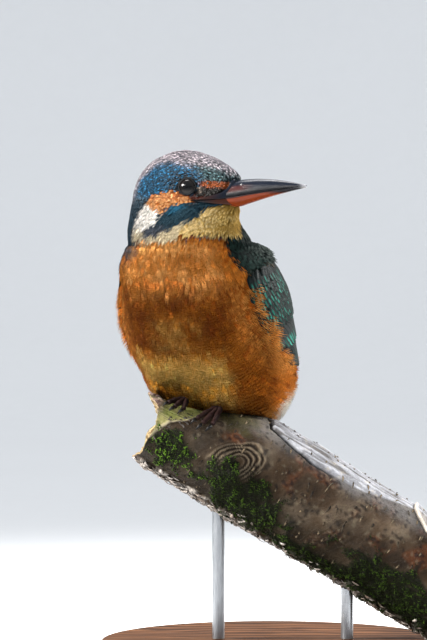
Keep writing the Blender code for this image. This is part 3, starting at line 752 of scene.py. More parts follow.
# stands one of the feather shapes on each root, along its lie, and lays its bake patch
def buildCoatTree():
    tree = bpy.data.node_groups.new("feather coat", "GeometryNodeTree")
    for label, kind in (("Roots", "Geometry"), ("Shapes", "Collection"), ("Finish", "Material"),
                        ("Patch", "Float")):
        tree.interface.new_socket(label, in_out="INPUT", socket_type="NodeSocket" + kind)
    tree.interface.new_socket("Coat", in_out="OUTPUT", socket_type="NodeSocketGeometry")
    given, result = tree.nodes.new("NodeGroupInput").outputs, tree.nodes.new("NodeGroupOutput").inputs

    def named(name, kind="FLOAT_VECTOR"):
        made = addNode(tree, "GeometryNodeInputNamedAttribute", {"Name": name}, data_type=kind)
        return made.outputs["Attribute"]

    shapes = addNode(tree, "GeometryNodeCollectionInfo",
                     {"Collection": given["Shapes"], "Separate Children": True, "Reset Children": True})
    turned = addNode(tree, "FunctionNodeAxesToRotation", {0: named("out"), 1: named("lie")},
                     primary_axis="Z", secondary_axis="Y")
    placed = addNode(tree, "GeometryNodeInstanceOnPoints", {
        "Points": given["Roots"], "Instance": shapes.outputs[0], "Pick Instance": True,
        "Instance Index": named("kind", "INT"), "Rotation": turned.outputs[0], "Scale": named("size")})
    real = addNode(tree, "GeometryNodeRealizeInstances", {0: placed.outputs[0]})
    local = addNode(tree, "ShaderNodeVectorMath", {0: named("vane"), 1: (-0.5, -0.5, 0.0)}, operation="ADD")
    spot = scaled(tree, local.outputs[0], given["Patch"])
    where = addNode(tree, "ShaderNodeVectorMath", {0: spot, 1: named("patch")}, operation="ADD")
    stored = addNode(tree, "GeometryNodeStoreNamedAttribute",
                     {"Geometry": real.outputs[0], "Name": "OFBake", "Value": where.outputs[0]},
                     data_type="FLOAT2", domain="CORNER")
    done = addNode(tree, "GeometryNodeSetMaterial",
                   {"Geometry": stored.outputs[0], "Material": given["Finish"]})
    tree.links.new(done.outputs[0], result["Coat"])
    return tree


# run the coat tree on a root mesh and keep its result as a plain mesh
def growPiece(name, roots, shapes, finish):
    obj = linkObject(name + " roots", roots)
    modifier = obj.modifiers.new("grow", "NODES")
    modifier.node_group = coatTree
    values = {"Shapes": shapes, "Finish": finish, "Patch": bakeTile}
    for item in coatTree.interface.items_tree:
        if item.name in values:
            modifier[item.identifier] = values[item.name]
    bpy.context.view_layer.update()
    grown = bpy.data.meshes.new_from_object(obj.evaluated_get(bpy.context.evaluated_depsgraph_get()))
    bpy.data.objects.remove(obj)
    grown.name = name
    for layer in ("lie", "out", "size", "patch", "kind"):    # only the tree needs these
        if layer in grown.attributes:
            grown.attributes.remove(grown.attributes[layer])
    finishPiece(linkObject(name, grown))


# points for the coat tree to stand shapes on, each with its frame, size and kind of shape
def rootMesh(name, points, kind, **layers):
    roots = bpy.data.meshes.new(name)
    roots.from_pydata(points.tolist(), [], [])
    paintVerts(roots, **layers)
    roots.attributes.new("kind", "INT", "POINT").data.foreach_set("value", kind.astype(np.int32))
    return roots


# places and angles of feather roots in staggered rows over the whole ring, steps in metres
def rootRows(start, end, rowStep, acrossStep, rng, jitter=0.6):
    fine = np.linspace(start, end, 300)
    ring = np.radians(np.arange(-180, 180, 12))
    s, a = np.meshgrid(fine, ring, indexing="ij")
    steps = np.linalg.norm(np.diff(birdPoint(s, a), axis=0), axis=2).mean(1)
    travel = np.concatenate(((0.0,), np.cumsum(steps)))
    rows = np.interp(np.arange(0.0, travel[-1], rowStep), travel, fine)
    places, angles = [], []
    around = np.radians(np.arange(0, 361, 2.0)) - math.pi
    for number, row in enumerate(rows):
        loop = np.linalg.norm(np.diff(birdPoint(np.full(around.shape, row), around), axis=0), axis=1)
        length = np.concatenate(((0.0,), np.cumsum(loop)))
        count = max(4, int(round(length[-1] / acrossStep)))
        at = (np.arange(count) + 0.5 * (number % 2) + rng.uniform(-jitter, jitter, count)) / count % 1.0
        angles.append(np.interp(at * length[-1], length, around))
        shift = rng.uniform(-jitter, jitter, count) * rowStep
        places.append(row + shift * (end - start) / travel[-1])
    return np.clip(np.concatenate(places), start, end), np.concatenate(angles)


# direction in which the coat lies: down the body, and back from the bill on the head
def lieOf(place, angle, point, out, alongPlace, alongAngle):
    down = -unit(alongPlace)
    b = wrapped(angle + math.pi / 2)
    sideways = np.sign(b) * smooth(np.abs(b), 0.25, 1.1) * within(place, 104, 92, 46, 56)
    body = down + (0.75 * sideways * smooth(np.abs(b), 1.9, 1.5))[:, None] * unit(alongAngle)
    away = unit(point - billRoot)
    head = away + 0.45 * down
    head = head - np.sum(head * out, 1, keepdims=True) * out
    weight = smooth(place, 111, 119)[:, None]
    body = unit(body) - (0.40 * within(place, 74, 62, 52, 57)
                         * smooth(np.abs(b), 1.1, 0.8))[:, None] * (up - out * out[:, 2:3])
    return unit(unit(body) * (1.0 - weight) + unit(head) * weight)


# place on an unwrap of the skin: round the bird and along it, for the feathers' bake patches
def skinPatch(place, angle):
    across = 0.03 + 0.94 * (wrapped(angle) + math.pi) / tau
    return np.stack((across, 0.03 + 0.94 * place / crownPlace, np.zeros_like(across)), -1)


# one piece of coat from its roots; style gives kind, width, length, lift and splay of each.
# mixed is how far colours stray, streaks how uneven they are, sparkle how far tips stand out
def coatPiece(name, places, angles, style, finish, rng, mixed=0.5 * mm, streaks=0.12, sparkle=0.0,
              fall=0.0):
    point, out, alongPlace, alongAngle = surfaceFrame(places, angles)
    lie = lieOf(places, angles, point, out, alongPlace, alongAngle)
    lie = unit(lie - fall * (up - out * out[:, 2:3]))
    _, kind, width, length, lift, splay = np.broadcast_arrays(places, *style(places, angles))
    swing = rng.normal(0.0, 1.0, len(places)) * splay + 4.5 * splay * cloud(point, 6 * mm, 4)
    lie = unit(lie + swing[:, None] * np.cross(out, lie))
    shown = 0.6 * length[:, None] * lie
    seenPlace = places + np.sum(shown * alongPlace, 1) / np.sum(alongPlace**2, 1)
    seenAngle = angles + np.sum(shown * alongAngle, 1) / np.maximum(np.sum(alongAngle**2, 1),
                                                                    (1.5 * mm) ** 2)
    stray = rng.normal(0.0, mixed, (2, len(places)))
    seenPlace = np.clip(seenPlace + stray[0] / mm, 0, crownPlace - 0.3)
    seenAngle = seenAngle + stray[1] / np.maximum(np.linalg.norm(alongAngle, axis=1), 4 * mm)
    base, tip = markings(seenPlace, seenAngle, birdPoint(seenPlace, seenAngle))
    fibre = np.stack((places * 0.16, np.cos(angles) * 30.0, np.sin(angles) * 30.0), -1) * mm
    streaky = 2.2 * streaks * cloud(fibre, 1.5 * mm, 13)[:, None]
    shade = np.maximum(1.0 + rng.normal(0.0, streaks, (len(places), 1)) + streaky, 0.3)
    if sparkle:
        bright = rng.uniform(0.0, 1.0, (len(places), 1)) ** (1.0 / sparkle)
        tip = base + (tip - base) * (0.25 + 1.35 * bright)
    foot = birdPoint(places, angles, -coatDepth(places))
    size = np.stack((width, length, lift), -1) * rng.uniform(0.88, 1.12, (len(places), 1))
    roots = rootMesh(name, foot, kind, lie=lie, out=out, size=size, patch=skinPatch(places, angles),
                     plume=np.clip(base * shade, 0, 1), plumeTip=np.clip(tip * shade, 0, 1))
    growPiece(name, roots, featherShapes, finish)


coat = {
    # places each piece runs from and to, step along the bird and step round it in mm
    "crown": (130, crownPlace - 0.4, 0.72, 0.72), "face": (111, 130.2, 0.74, 0.74),
    "breast": (99, 113, 0.98, 0.92), "mid_breast": (86, 99, 0.98, 0.92),
    "lower_breast": (74, 86, 0.98, 0.92), "belly": (62, 74, 0.98, 0.92), "vent": (38, 62, 0.98, 0.92),
    "skirt": (55, 63, 1.0, 1.1), "fringe": (68, 101, 1.5, 0.9), "shoulder": (98.5, 114, 0.9, 0.95),
    "back": (36, 104, 1.7, 1.7),
}


# small scales on crown, fine strands on face, ear, neck and throat
def headStyle(places, angles):
    f = fromBill(angles)
    near = eyeDistance(birdPoint(places, angles))
    small = np.where(near < 6 * mm, 0.75, 1.0)
    front = smooth(f, 60, 30) * smooth(places, 140, 136)
    softTop = np.interp(f, (60, 70, 80, 95, 108), (130.3, 131, 132.6, 132.2, 130.3))
    soft = (places < softTop) | ((f < 62.0) & (places < 136.8))
    kind = np.where(soft, 1, 0)
    length = np.where(soft, 3.4 + 1.2 * smooth(places, 126, 118), (2.3 - 0.8 * front) * small) * mm
    width = np.where(soft, 1.25, (0.98 - 0.2 * front) * small) * mm
    length = np.where((f < 62.0) & (places > 127.0) & soft, 2.3 * mm, length)
    lift = (0.48 + 0.45 * smooth(places, 130, 120)) * mm * np.where(near < 5 * mm, 0.6, 1.0)
    throat = (f < 80.0) & (places < 127.0)
    length = np.where(throat, 4.8 * mm, length)
    twisted = smooth(angles, math.radians(-10.0), math.radians(8.0)) * smooth(places, 122, 117)
    lift = np.where(throat, (1.0 - 0.5 * twisted) * mm, lift)
    return kind, width, length, lift, np.where(soft, 0.10, 0.09)


# upper and lower edge of the bare gape beside the bill, as places at degrees from the bill
def gapeEdges(f):
    high = np.interp(f, (20, 26, 32, 38, 52, 65), (137, 136, 133.6, 131.9, 130.2, 128.8))
    low = np.interp(f, (15, 42, 55, 65), (126.9, 127.5, 128.1, 128.7))
    return high, low


# true where no feather stands: on the eye, its lids, the gape and under the bill's root
def bareFace(places, angles):
    points = birdPoint(places, angles)
    near = eyeDistance(points) < eye["opening"] + 0.75 * mm
    f = fromBill(angles)
    wedge = (np.abs(places - 132.4) < 0.7) & (f > 57.0) & (f < 66.0)
    high, low = gapeEdges(f)
    gape = (places < high - 0.25) & (places > low + 0.2) & (f < 64.0)
    offset = points - billRoot
    horn = (np.abs(offset @ faceRight) < 4.4 * mm) & (offset @ billward > -3 * mm)
    horn &= (points[:, 2] > 180.6 * mm) & (points[:, 2] < 189.2 * mm)
    return near | wedge | gape | horn


# loose tufts of breast, belly and vent, hanging fullest over the legs
def bodyStyle(places, angles):
    b = fromBelly(angles)
    flank = smooth(b, 35, 60) * smooth(places, 100, 88)
    length = (7.4 + 2.6 * flank + 1.4 * smooth(places, 84, 76) - 2.0 * smooth(places, 108, 112)) * mm
    hang = within(places, 72, 65, 54, 58) * smooth(b, 62, 48)
    side = smooth(b, 60, 84) * smooth(places, 96, 88)
    lift = (1.75 + 1.2 * hang - 0.75 * side) * mm
    length = length + 2.6 * hang * mm
    lift = lift * np.random.default_rng(3).uniform(0.9, 1.12, len(places))
    lift = lift * (1.0 - 0.6 * smooth(places, 56, 40))
    return 2, 2.5 * mm, length, lift, 0.08 + 0.06 * flank


# smooth overlapping feathers from neck to scapulars, standing proudest on the point of the shoulder
def shoulderStyle(places, angles):
    b = fromBelly(angles)
    proud = within(b, 84, 112, 160, 140) * within(places, 98, 109, 116, 112.5)
    size = 1.0 - 0.3 * smooth(places, 104, 113)
    return 1, 2.5 * mm * size, 6.4 * mm * size, (0.9 + 2.3 * proud) * mm, 0.06


# long soft tufts that hang from the belly over the toes
def skirtStyle(places, angles):
    return 2, 2.6 * mm, (6.0 + 2.5 * smooth(places, 56, 62)) * mm, 2.2 * mm, 0.12


# long open strands that overhang the wing's front edge
def fringeStyle(places, angles):
    uneven = np.random.default_rng(8).uniform(0.8, 1.2, len(places))
    return 3, 2.6 * mm, (6.4 + 2.6 * smooth(places, 100, 84)) * mm * uneven, 2.3 * mm, 0.16


# neat overlapping scales down the back
def backStyle(places, angles):
    size = 1.0 - 0.35 * smooth(places, 104, 112)
    return 0, 3.0 * mm * size, 5.6 * mm * size, 0.9 * mm, 0.06


def makeCoat():
    rng = np.random.default_rng(11)
    crownFinish = plumageMaterial("crown feathers", 0.42, 4.0, 0.10, 0.45, 0.66, 0.12 * mm,
                                  Specular_IOR_Level=0.14)
    softFinish = plumageMaterial("soft feathers", 0.8, 7.0, 0.14, 0.50, 1.0, 0.12 * mm,
                                 Specular_IOR_Level=0.05)
    backFinish = plumageMaterial("back feathers", 0.36, 22.0, 0.22, 0.40, 0.9, 0.10 * mm)

    def rootsOn(part):
        start, end, row, across = coat[part]
        return rootRows(start, end, row * mm, across * mm, rng)

    def faceRoots(part):
        s, a = rootsOn(part)
        keep = ~bareFace(s, a)
        return s[keep], a[keep]

    s, a = faceRoots("crown")
    # rings of scales close the top of the crown
    for radius in np.arange(0.35, 3.2, 0.7):
        turns = np.linspace(0, tau, max(4, int(tau * radius / 0.72)), endpoint=False)
        turns = turns + rng.uniform(0.0, 1.0)
        s, a = np.append(s, crownPlace - 0.02 - radius**2 / 26.0 + 0.0 * turns), np.append(a, turns)
    coatPiece("feathers_crown", s, a, headStyle, crownFinish, rng, 0.35 * mm, 0.14, 0.34)
    s, a = faceRoots("face")
    throat = fromBill(a) < 88.0
    coatPiece("feathers_throat", s[throat], a[throat], headStyle, softFinish, rng,
              0.45 * mm, 0.10)
    coatPiece("feathers_cheek", s[~throat], a[~throat], headStyle, softFinish, rng,
              0.6 * mm, 0.13)
    for part in ("breast", "mid_breast", "lower_breast", "belly", "vent"):
        s, a = rootsOn(part)
        b = fromBelly(a)
        keep = (b < 100.0) & ((wingShare(s, a) < 0.01) | (s > 103.0) | (s < 45.0))
        keep &= (b < sideEdge(s) + 2.0) | (s < 98.5)
        coatPiece("feathers_" + part, s[keep], a[keep], bodyStyle, softFinish, rng,
                  0.9 * mm, 0.13)
    s, a = rootsOn("skirt")
    keep = fromBelly(a) < 46.0
    coatPiece("skirt", s[keep], a[keep], skirtStyle, softFinish, rng, 0.6 * mm, 0.13,
              fall=1.6)
    s, a = rootsOn("fringe")
    share = wingShare(s, a)
    keep = (share > -0.12) & (share < 0.03)
    coatPiece("fringe", s[keep], a[keep], fringeStyle, softFinish, rng, 1.2 * mm, 0.16)
    s, a = rootsOn("shoulder")
    b = fromBelly(a)
    keep = (b > sideEdge(s) - 4.0) & (b < 176.0) & ((wingShare(s, a) > 0.0) | (s > 101.0))
    coatPiece("feathers_shoulder", s[keep], a[keep], shoulderStyle, softFinish, rng,
              0.5 * mm, 0.12)
    s, a = rootsOn("back")
    keep = (fromBelly(a) > 100.0) & ((wingShare(s, a) > 0.85) | (s < 38.0))
    coatPiece("feathers_back", s[keep], a[keep], backStyle, backFinish, rng, 0.3 * mm, 0.08)


coatTree = buildCoatTree()
featherShapes = makeFeatherShapes()


wing = {
    "proud": 0.9 * mm, "tipStandoff": 6.2 * mm, "tipStart": 30.0, "tipReach": 34.0,
    "lastPlace": 30.2, "girth": 33.0,    # place no feather reaches beyond, mm round the wing per radian
    # name: (rows from, to, step in place mm, length, width, step across in mm,
    #        from u, to u, layer, colour, tip)
    "tracts": {
        "primaries": (62, 62, 1, 30, 6, 2.1, 0.04, 0.42, -0.6, "primary", "primaryTip"),
        "secondaries": (66, 66, 1, 21, 7, 3, 0.30, 1.02, -0.1, "secondary", "secondaryTip"),
        "tertials": (78, 70, 8, 21, 8, 4, 0.72, 1.06, 0.3, "tertial", "tertialTip"),
        "greater": (73, 73, 1, 15.5, 4.6, 2.7, 0.02, 0.92, 0.25, "covert", "covertTip"),
        "median": (79.5, 79.5, 1, 10.5, 3.8, 2.3, 0.02, 0.92, 0.45, "covert", "spot"),
        "lesser": (102, 83, 2.2, 5.8, 3, 2, 0, 0.94, 0.55, "lesser", "spot"),
        "scapulars": (101, 80, 3.2, 11.5, 4.6, 2.6, 0.78, 1.12, 0.75, "scapular", "scapularTip"),
    },
}
# place along the bird, angle of the wing's front and back edge in degrees
wingRows = ((30, 66, 76), (38, 50, 80), (48, 30, 80), (60, 1, 78), (72, -17, 74), (84, -26, 68),
            (96, -25, 60), (104, -12, 52), (107, 12, 38))
wingInk = {name: linear(value) for name, value in {
    "primary": "0f1112", "primaryTip": "161b1d", "secondary": "101f20", "secondaryTip": "153433",
    "tertial": "16282a", "tertialTip": "2c3a3d", "covert": "081716", "covertTip": "0c2824",
    "spot": "38a893", "lesser": "081616", "scapular": "122322", "scapularTip": "3c514d", "tail": "1c3f66",
    "tailTip": "2a5f96", "tailUnder": "3a3f45",
}.items()}


# surface function of one folded wing: place, share across from front edge to back edge, and lift
def wingPoint(side):
    def point(place, across, lift):
        front, back = np.radians(np.moveaxis(smoothTable(wingRows, place), -1, 0))
        angle = front + (back - front) * across
        tipward = 1.0 - smooth((place - wing["tipStart"]) / wing["tipReach"])
        crown = np.sin(np.clip(0.12 + 0.76 * across, 0, 1) * math.pi)
        proud = lift + wing["proud"] * crown + wing["tipStandoff"] * tipward
        return birdPoint(place, angle if side > 0 else math.pi - angle, proud)
    return point


# closed lens-shaped vanes that follow a surface. Returns points, faces and vane coordinates
def layVanes(surface, rootPlace, tipPlace, rootAcross, tipAcross, width, liftRoot, liftTip, tilt,
             steps=8, columns=5, thickness=0.14 * mm, pointed=2.4):
    t = np.linspace(0, 1, steps)
    place = rootPlace[:, None] + (tipPlace - rootPlace)[:, None] * t
    across = rootAcross[:, None] + (tipAcross - rootAcross)[:, None] * t
    lift = liftRoot[:, None] + (liftTip - liftRoot)[:, None] * t**0.8
    centre = surface(place, across, lift)
    ahead = unit(np.gradient(centre, axis=1))
    out = unit(surface(place, across, lift + 0.5 * mm) - centre)
    sideways = unit(np.cross(ahead, out))
    out = unit(np.cross(sideways, ahead))
    taper = np.sqrt(np.clip(1.0 - np.maximum(0, (t - 0.62) / 0.385) ** pointed, 0, 1))
    profile = np.minimum(1, 0.42 + 2.2 * t) * taper
    half = 0.5 * width[:, None] * np.maximum(profile, 0.05)
    w = np.linspace(-1, 1, columns)
    top = w[None, None, :] * half[:, :, None]
    shaft = 0.10 * mm * (1.0 - np.abs(w)) * profile[None, :, None]
    raised = tilt[:, None, None] * w - top**2 / (2 * 26 * mm) + shaft
    upper = centre[:, :, None] + sideways[:, :, None] * top[..., None] + out[:, :, None] * raised[..., None]
    lower = upper[:, :, 1:-1] - out[:, :, None] * thickness
    ring = np.concatenate((upper, lower[:, :, ::-1]), 2)
    count, rows, sides = ring.shape[:3]
    u = np.concatenate(((w + 1) / 2, ((w + 1) / 2)[1:-1][::-1]))
    vane = np.zeros((count, rows, sides, 3))
    vane[..., 0], vane[..., 1] = u, t[None, :, None]
    strip = gridFaces(rows, sides, flip=True)
    faces, first, last = [], list(range(sides)), [(rows - 1) * sides + k for k in range(sides)]
    for number in range(count):
        start = number * rows * sides
        faces += [tuple(face) for face in (strip + start).tolist()]
        faces.append(tuple(start + k for k in first))
        faces.append(tuple(start + k for k in reversed(last)))
    return ring.reshape(-1, 3), faces, vane.reshape(-1, 3)


# gathers vanes with their colours and bake patches until they are made one piece
class Plumes:
    def __init__(self):
        self.points, self.faces, self.vane, self.foot, self.tip, self.patch = [], [], [], [], [], []
        self.count = 0

    def add(self, laid, foot, tip, patch):
        points, faces, vane = laid
        each = len(points) // len(foot)
        self.faces += [tuple(k + self.count for k in face) for face in faces]
        self.points.append(points)
        self.vane.append(vane)
        self.foot.append(np.repeat(foot, each, 0))
        self.tip.append(np.repeat(tip, each, 0))
        self.patch.append(np.repeat(patch, each, 0) + bakeTile * (vane[:, :2] - 0.5))
        self.count += len(points)

    def piece(self, name, finish, slot):
        obj = makePiece(name, np.concatenate(self.points), self.faces, finish, slot,
                        vane=np.concatenate(self.vane), plume=np.clip(np.concatenate(self.foot), 0, 1),
                        plumeTip=np.clip(np.concatenate(self.tip), 0, 1))
        corner = np.zeros(len(obj.data.loops), np.int32)
        obj.data.loops.foreach_get("vertex_index", corner)
        layer = obj.data.uv_layers.new(name="OFBake")
        layer.data.foreach_set("uv", np.concatenate(self.patch)[corner].astype(np.float32).ravel())


# one folded wing as two pieces, its flight feathers and its coverts
def makeWing(label, side, finish):
    surface = wingPoint(side)
    rng = np.random.default_rng(21)
    for group, tracts in (("flight", ("primaries", "secondaries", "tertials")),
                          ("coverts", ("greater", "median", "lesser", "scapulars"))):
        plumes = Plumes()
        for tract in tracts:
            start, end, step, length, width, pitch, low, high, layer, foot, tip = wing["tracts"][tract]
            for number, place in enumerate(np.arange(start, end - 0.01, -step)):
                front, back = np.radians(smoothTable(wingRows, np.array(place)))
                girth = abs(back - front) * wing["girth"]
                count = max(3, int(round(girth * (high - low) / pitch)))
                at = low + (high - low) * (np.arange(count) + 0.25 + 0.5 * (number % 2)) / count
                jitter = rng.normal(0.0, 1.0, (4, count))
                root = place + 0.5 * jitter[0]
                reach = length * (1.0 + 0.05 * jitter[1])
                tipAt = at + 0.006 * jitter[2]
                if tract == "primaries":
                    reach = length * (0.74 + 0.32 * (at - low) / (high - low))
                    tipAt = 0.15 + 1.6 * at
                if tract == "secondaries":
                    reach = length * (1.10 - 0.35 * (at - low) / (high - low))
                wide = width * (1.0 + 0.06 * jitter[3])
                base = (layer - 0.75) * mm + 0.0 * at
                laid = layVanes(surface, root, np.maximum(root - reach, wing["lastPlace"]), at, tipAt,
                                wide * mm, base, base + 0.95 * mm, np.full(count, -0.16 * mm))
                shade = 1.0 + rng.normal(0.0, 0.10, (count, 1))
                angle = front + (back - front) * at
                patch = skinPatch(root - 0.5 * reach, angle if side > 0 else math.pi - angle)[:, :2]
                tipInk = np.tile(wingInk[tip], (count, 1))
                if tip == "spot":
                    fade = smooth(at, 0.66, 0.28)[:, None] * rng.uniform(0.0, 1.0, (count, 1)) ** 1.5
                    tipInk = wingInk["spot"] * fade + wingInk["covertTip"] * (1.0 - fade)
                plumes.add(laid, wingInk[foot] * shade, tipInk * shade, patch)
        plumes.piece(f"{group}_{label}", finish, "plumage_blue")


tail = {"pairs": 6, "root": 44.0, "length": 42.5, "width": 7.4 * mm, "spread": 0.86, "rounded": 2.4}


# upper or under surface of the closed tail: across runs from -1 to 1 between its edges
def tailPoint(upper):
    def point(place, across, lift):
        centre, backward, half, belly, back, _ = bodyAxes(place)
        crown = np.sqrt(np.clip(1.0 - 0.8 * across**2, 0, 1))
        rise = back * crown - 0.3 * mm + lift if upper else -(belly * crown - 0.25 * mm + lift)
        return centre + (across * half * 0.93)[..., None] * leftward + rise[..., None] * backward
    return point


def makeTail(finish):
    for upper, label, foot, tip, turned in ((True, "upper", "tail", "tailTip", (0.6, 2.4)),
                                            (False, "under", "tailUnder", "tailUnder", (-0.6, -2.4))):
        plumes = Plumes()
        for number in range(tail["pairs"]):
            share = (number + 0.5) / tail["pairs"]
            at = np.array((share, -share)) * tail["spread"]
            low = tail["root"] + 0.0 * at
            tipPlace = low - tail["length"] + tail["rounded"] * share**2
            lift = np.full(2, (0.35 - 0.10 * number if upper else 0.0) * mm)
            laid = layVanes(tailPoint(upper), low, tipPlace, at * 0.75, at, np.full(2, tail["width"]),
                            lift * 0.2, lift, np.array((-0.1, 0.1)) * mm, steps=14, columns=7,
                            pointed=3.5)
            patch = skinPatch(low - 20.0, np.array(turned))[:, :2]
            plumes.add(laid, np.tile(wingInk[foot], (2, 1)), np.tile(wingInk[tip], (2, 1)), patch)
        plumes.piece("tail_" + label, finish, "plumage_blue")


# share across the nearer wing, from 0 at its front edge to 1 at its back edge
def wingShare(places, angles):
    front, back = np.moveaxis(smoothTable(wingRows, places), -1, 0)
    side = fromBelly(angles) - 90.0
    return (side - front) / np.maximum(back - front, 1)


def makeFlight():
    wingFinish = plumageMaterial("wing feathers", 0.5, 26.0, 0.22, 0.46, 0.34, 0.10 * mm,
                                 Specular_IOR_Level=0.06)
    for label, side in (("left", 1), ("right", -1)):
        makeWing(label, side, wingFinish)
    makeTail(wingFinish)


def makeEyes():
    ball, tree, shader = newMaterial("eye", 0.03, IOR=1.33)
    iris = spread(tree, colourLayer(tree, "pupil"), 0.45, 0.55)
    tint = blendColour(tree, iris, rgba(eye["iris"]), rgba(eye["pupil"]))
    streak = grain(tree, objectPlace(tree), 0.3 * mm, 3.0)
    setColour(tree, shader, blendColour(tree, calc(tree, "MULTIPLY", streak, 0.4), tint, rgba("000000")))
    lidMat, tree, shader = newMaterial("eyelid", 0.6, Specular_IOR_Level=0.12)
    mottled = mottle(tree, shader, colourLayer(tree, "plume"), 1 * mm, 0.2 * mm, 0.4)
    addBump(tree, shader, mottled["Height"], 0.15 * mm)
    for label, side in (("left", 1), ("right", -1)):
        centre, gaze = eyeFrame(side)
        level = unit(np.cross(up, gaze))
        rise = np.cross(gaze, level)
        polar = np.linspace(0, math.pi, 33)[1:-1]
        around = np.linspace(0, tau, 48, endpoint=False)
        p, q = np.meshgrid(polar, around, indexing="ij")
        offset = (np.cos(p)[..., None] * gaze + (np.sin(p) * np.cos(q))[..., None] * level
                  + (np.sin(p) * np.sin(q))[..., None] * rise)
        points = centre + offset.reshape(-1, 3) * eye["radius"]
        points = np.concatenate((points, [centre + gaze * eye["radius"], centre - gaze * eye["radius"]]))
        pupil = np.concatenate((np.repeat(polar < eye["pupilSize"], 48), (True, False))).astype(float)
        makePiece("eyeball_" + label, points, fixWinding(points, fannedTube(31, 48)), ball, "eye",
                  ("eye_" + label,), pupil=np.repeat(pupil[:, None], 3, 1))

        # lids: a ring over the ball's edge, thicker above, with a painted highlight along the inner rim of
        # the lower lid, drawn out a little towards the bill
        turn = np.linspace(0, tau, 64, endpoint=False)
        tube = np.linspace(0, tau, 12, endpoint=False)
        t, r = np.meshgrid(turn, tube, indexing="ij")
        toBill = np.cos(t) * np.sign(level @ billward)
        major = eye["opening"] + 0.18 * mm + 0.28 * mm * np.maximum(toBill, 0) ** 6
        minor = eye["lid"] * (0.85 + 0.35 * np.maximum(np.sin(t), 0))
        ringUp = math.sqrt(eye["radius"] ** 2 - eye["opening"] ** 2)
        radial = major + minor * np.cos(r)
        height = ringUp - 0.05 * mm + minor * 0.9 * np.sin(r)
        points = (centre + (np.cos(t) * radial)[..., None] * level + (np.sin(t) * radial)[..., None] * rise
                  + height[..., None] * gaze).reshape(-1, 3)
        quads = gridFaces(64, 12).tolist()
        quads += [(63 * 12 + k, 63 * 12 + (k + 1) % 12, (k + 1) % 12, k) for k in range(12)]
        # painted highlight on the inner rim of the lower lid
        lower = smooth(-np.sin(t), 0.2, 0.8) * smooth(np.cos(r), 0.3, -0.6)
        colour = between(eye["lidUpper"], eye["lidRimHighlight"], lower[..., None])
        makePiece("eyelid_" + label, points, fixWinding(points, quads), lidMat, "plumage_blue",
                  plume=colour.reshape(-1, 3))


# the same faces, turned to point outwards if their solid is inside out
def fixWinding(points, faces):
    bm = bmesh.new()
    verts = [bm.verts.new(point) for point in points]
    for face in faces:
        bm.faces.new([verts[k] for k in face])
    bmesh.ops.recalc_face_normals(bm, faces=bm.faces)
    if bm.calc_volume(signed=True) < 0.0:
        bmesh.ops.reverse_faces(bm, faces=bm.faces)
    bm.verts.index_update()
    fixed = [tuple(v.index for v in face.verts) for face in bm.faces]
    bm.free()
    return fixed


bill = {"length": 30.9 * mm, "root": 8.5 * mm, "baseHeight": 183.3 * mm, "tipHeight": 186.5 * mm,
        "top": 6.1 * mm, "chin": 3.3 * mm, "halfWidth": 4.7 * mm, "gap": 0.22 * mm, "rows": 90, "arc": 41,
        "redEnds": 0.60, "upperTop": "0a101b", "upperEdge": "07080c", "upperBase": "4a241c",
        "upperTip": "8f9096", "lowerHorn": "131216", "lowerRed": "6e2d13", "lowerTip": "a9a7a5",
        # gape above and below the mouth line, each from its front end to its back end
        "gapeUpper": ("10151e", "2a1712"), "gapeLower": ("35190f", "121519")}


# rings of one mandible from its root to its tip, with their shares along and round
def billRings(part):
    start = -bill["root"] / bill["length"]
    end = 1.0 if part == "upper" else 0.985
    along = start + (end - start) * np.linspace(0, 1, bill["rows"]) ** 0.85
    arc = np.linspace(0, math.pi, bill["arc"])
    s, q = np.meshgrid(along, arc, indexing="ij")
    ahead = np.maximum(s, 0)
    half = bill["halfWidth"] * np.maximum(0, 1.0 - s) ** 0.9 + 0.25 * mm
    level = bill["baseHeight"] + (bill["tipHeight"] - bill["baseHeight"]) * s
    level = level + 0.25 * mm * np.sin(np.clip(s, 0, 1) * math.pi)
    if part == "upper":
        rise = bill["top"] * (1.0 - ahead**1.5) + 0.35 * mm
        ridge = 0.05 * mm * np.exp(-((q - math.pi / 2) / 0.30) ** 2) * (1.0 - ahead)
        groove = 0.16 * mm * np.exp(-((np.abs(q - math.pi / 2) - 1.02) / 0.16) ** 2) * smooth(s, 0.42, 0.05)
        nostril = 0.55 * mm * np.exp(-((np.abs(q - math.pi / 2) - 0.86) / 0.13) ** 2
                                     - ((s - 0.055) / 0.035) ** 2)
        heights = level + bill["gap"] / 2 + rise * np.sin(q) ** 1.15 + ridge - 0.4 * groove
        half = half - groove - nostril
    else:
        rise = bill["chin"] * (1.0 - ahead**0.9) + 0.30 * mm
        half = half * (0.955 - 0.03 * ahead)
        heights = level - bill["gap"] / 2 - rise * np.sin(q)
    reach = smoothTable(headRows, np.array(bill["baseHeight"] / mm))[0] * mm + bill["length"] * s
    axis = np.array((bodyShape["headX"], bodyShape["headY"], 0.0)) + reach[..., None] * billward
    return axis + (np.cos(q) * half)[..., None] * faceRight + heights[..., None] * up, s, q


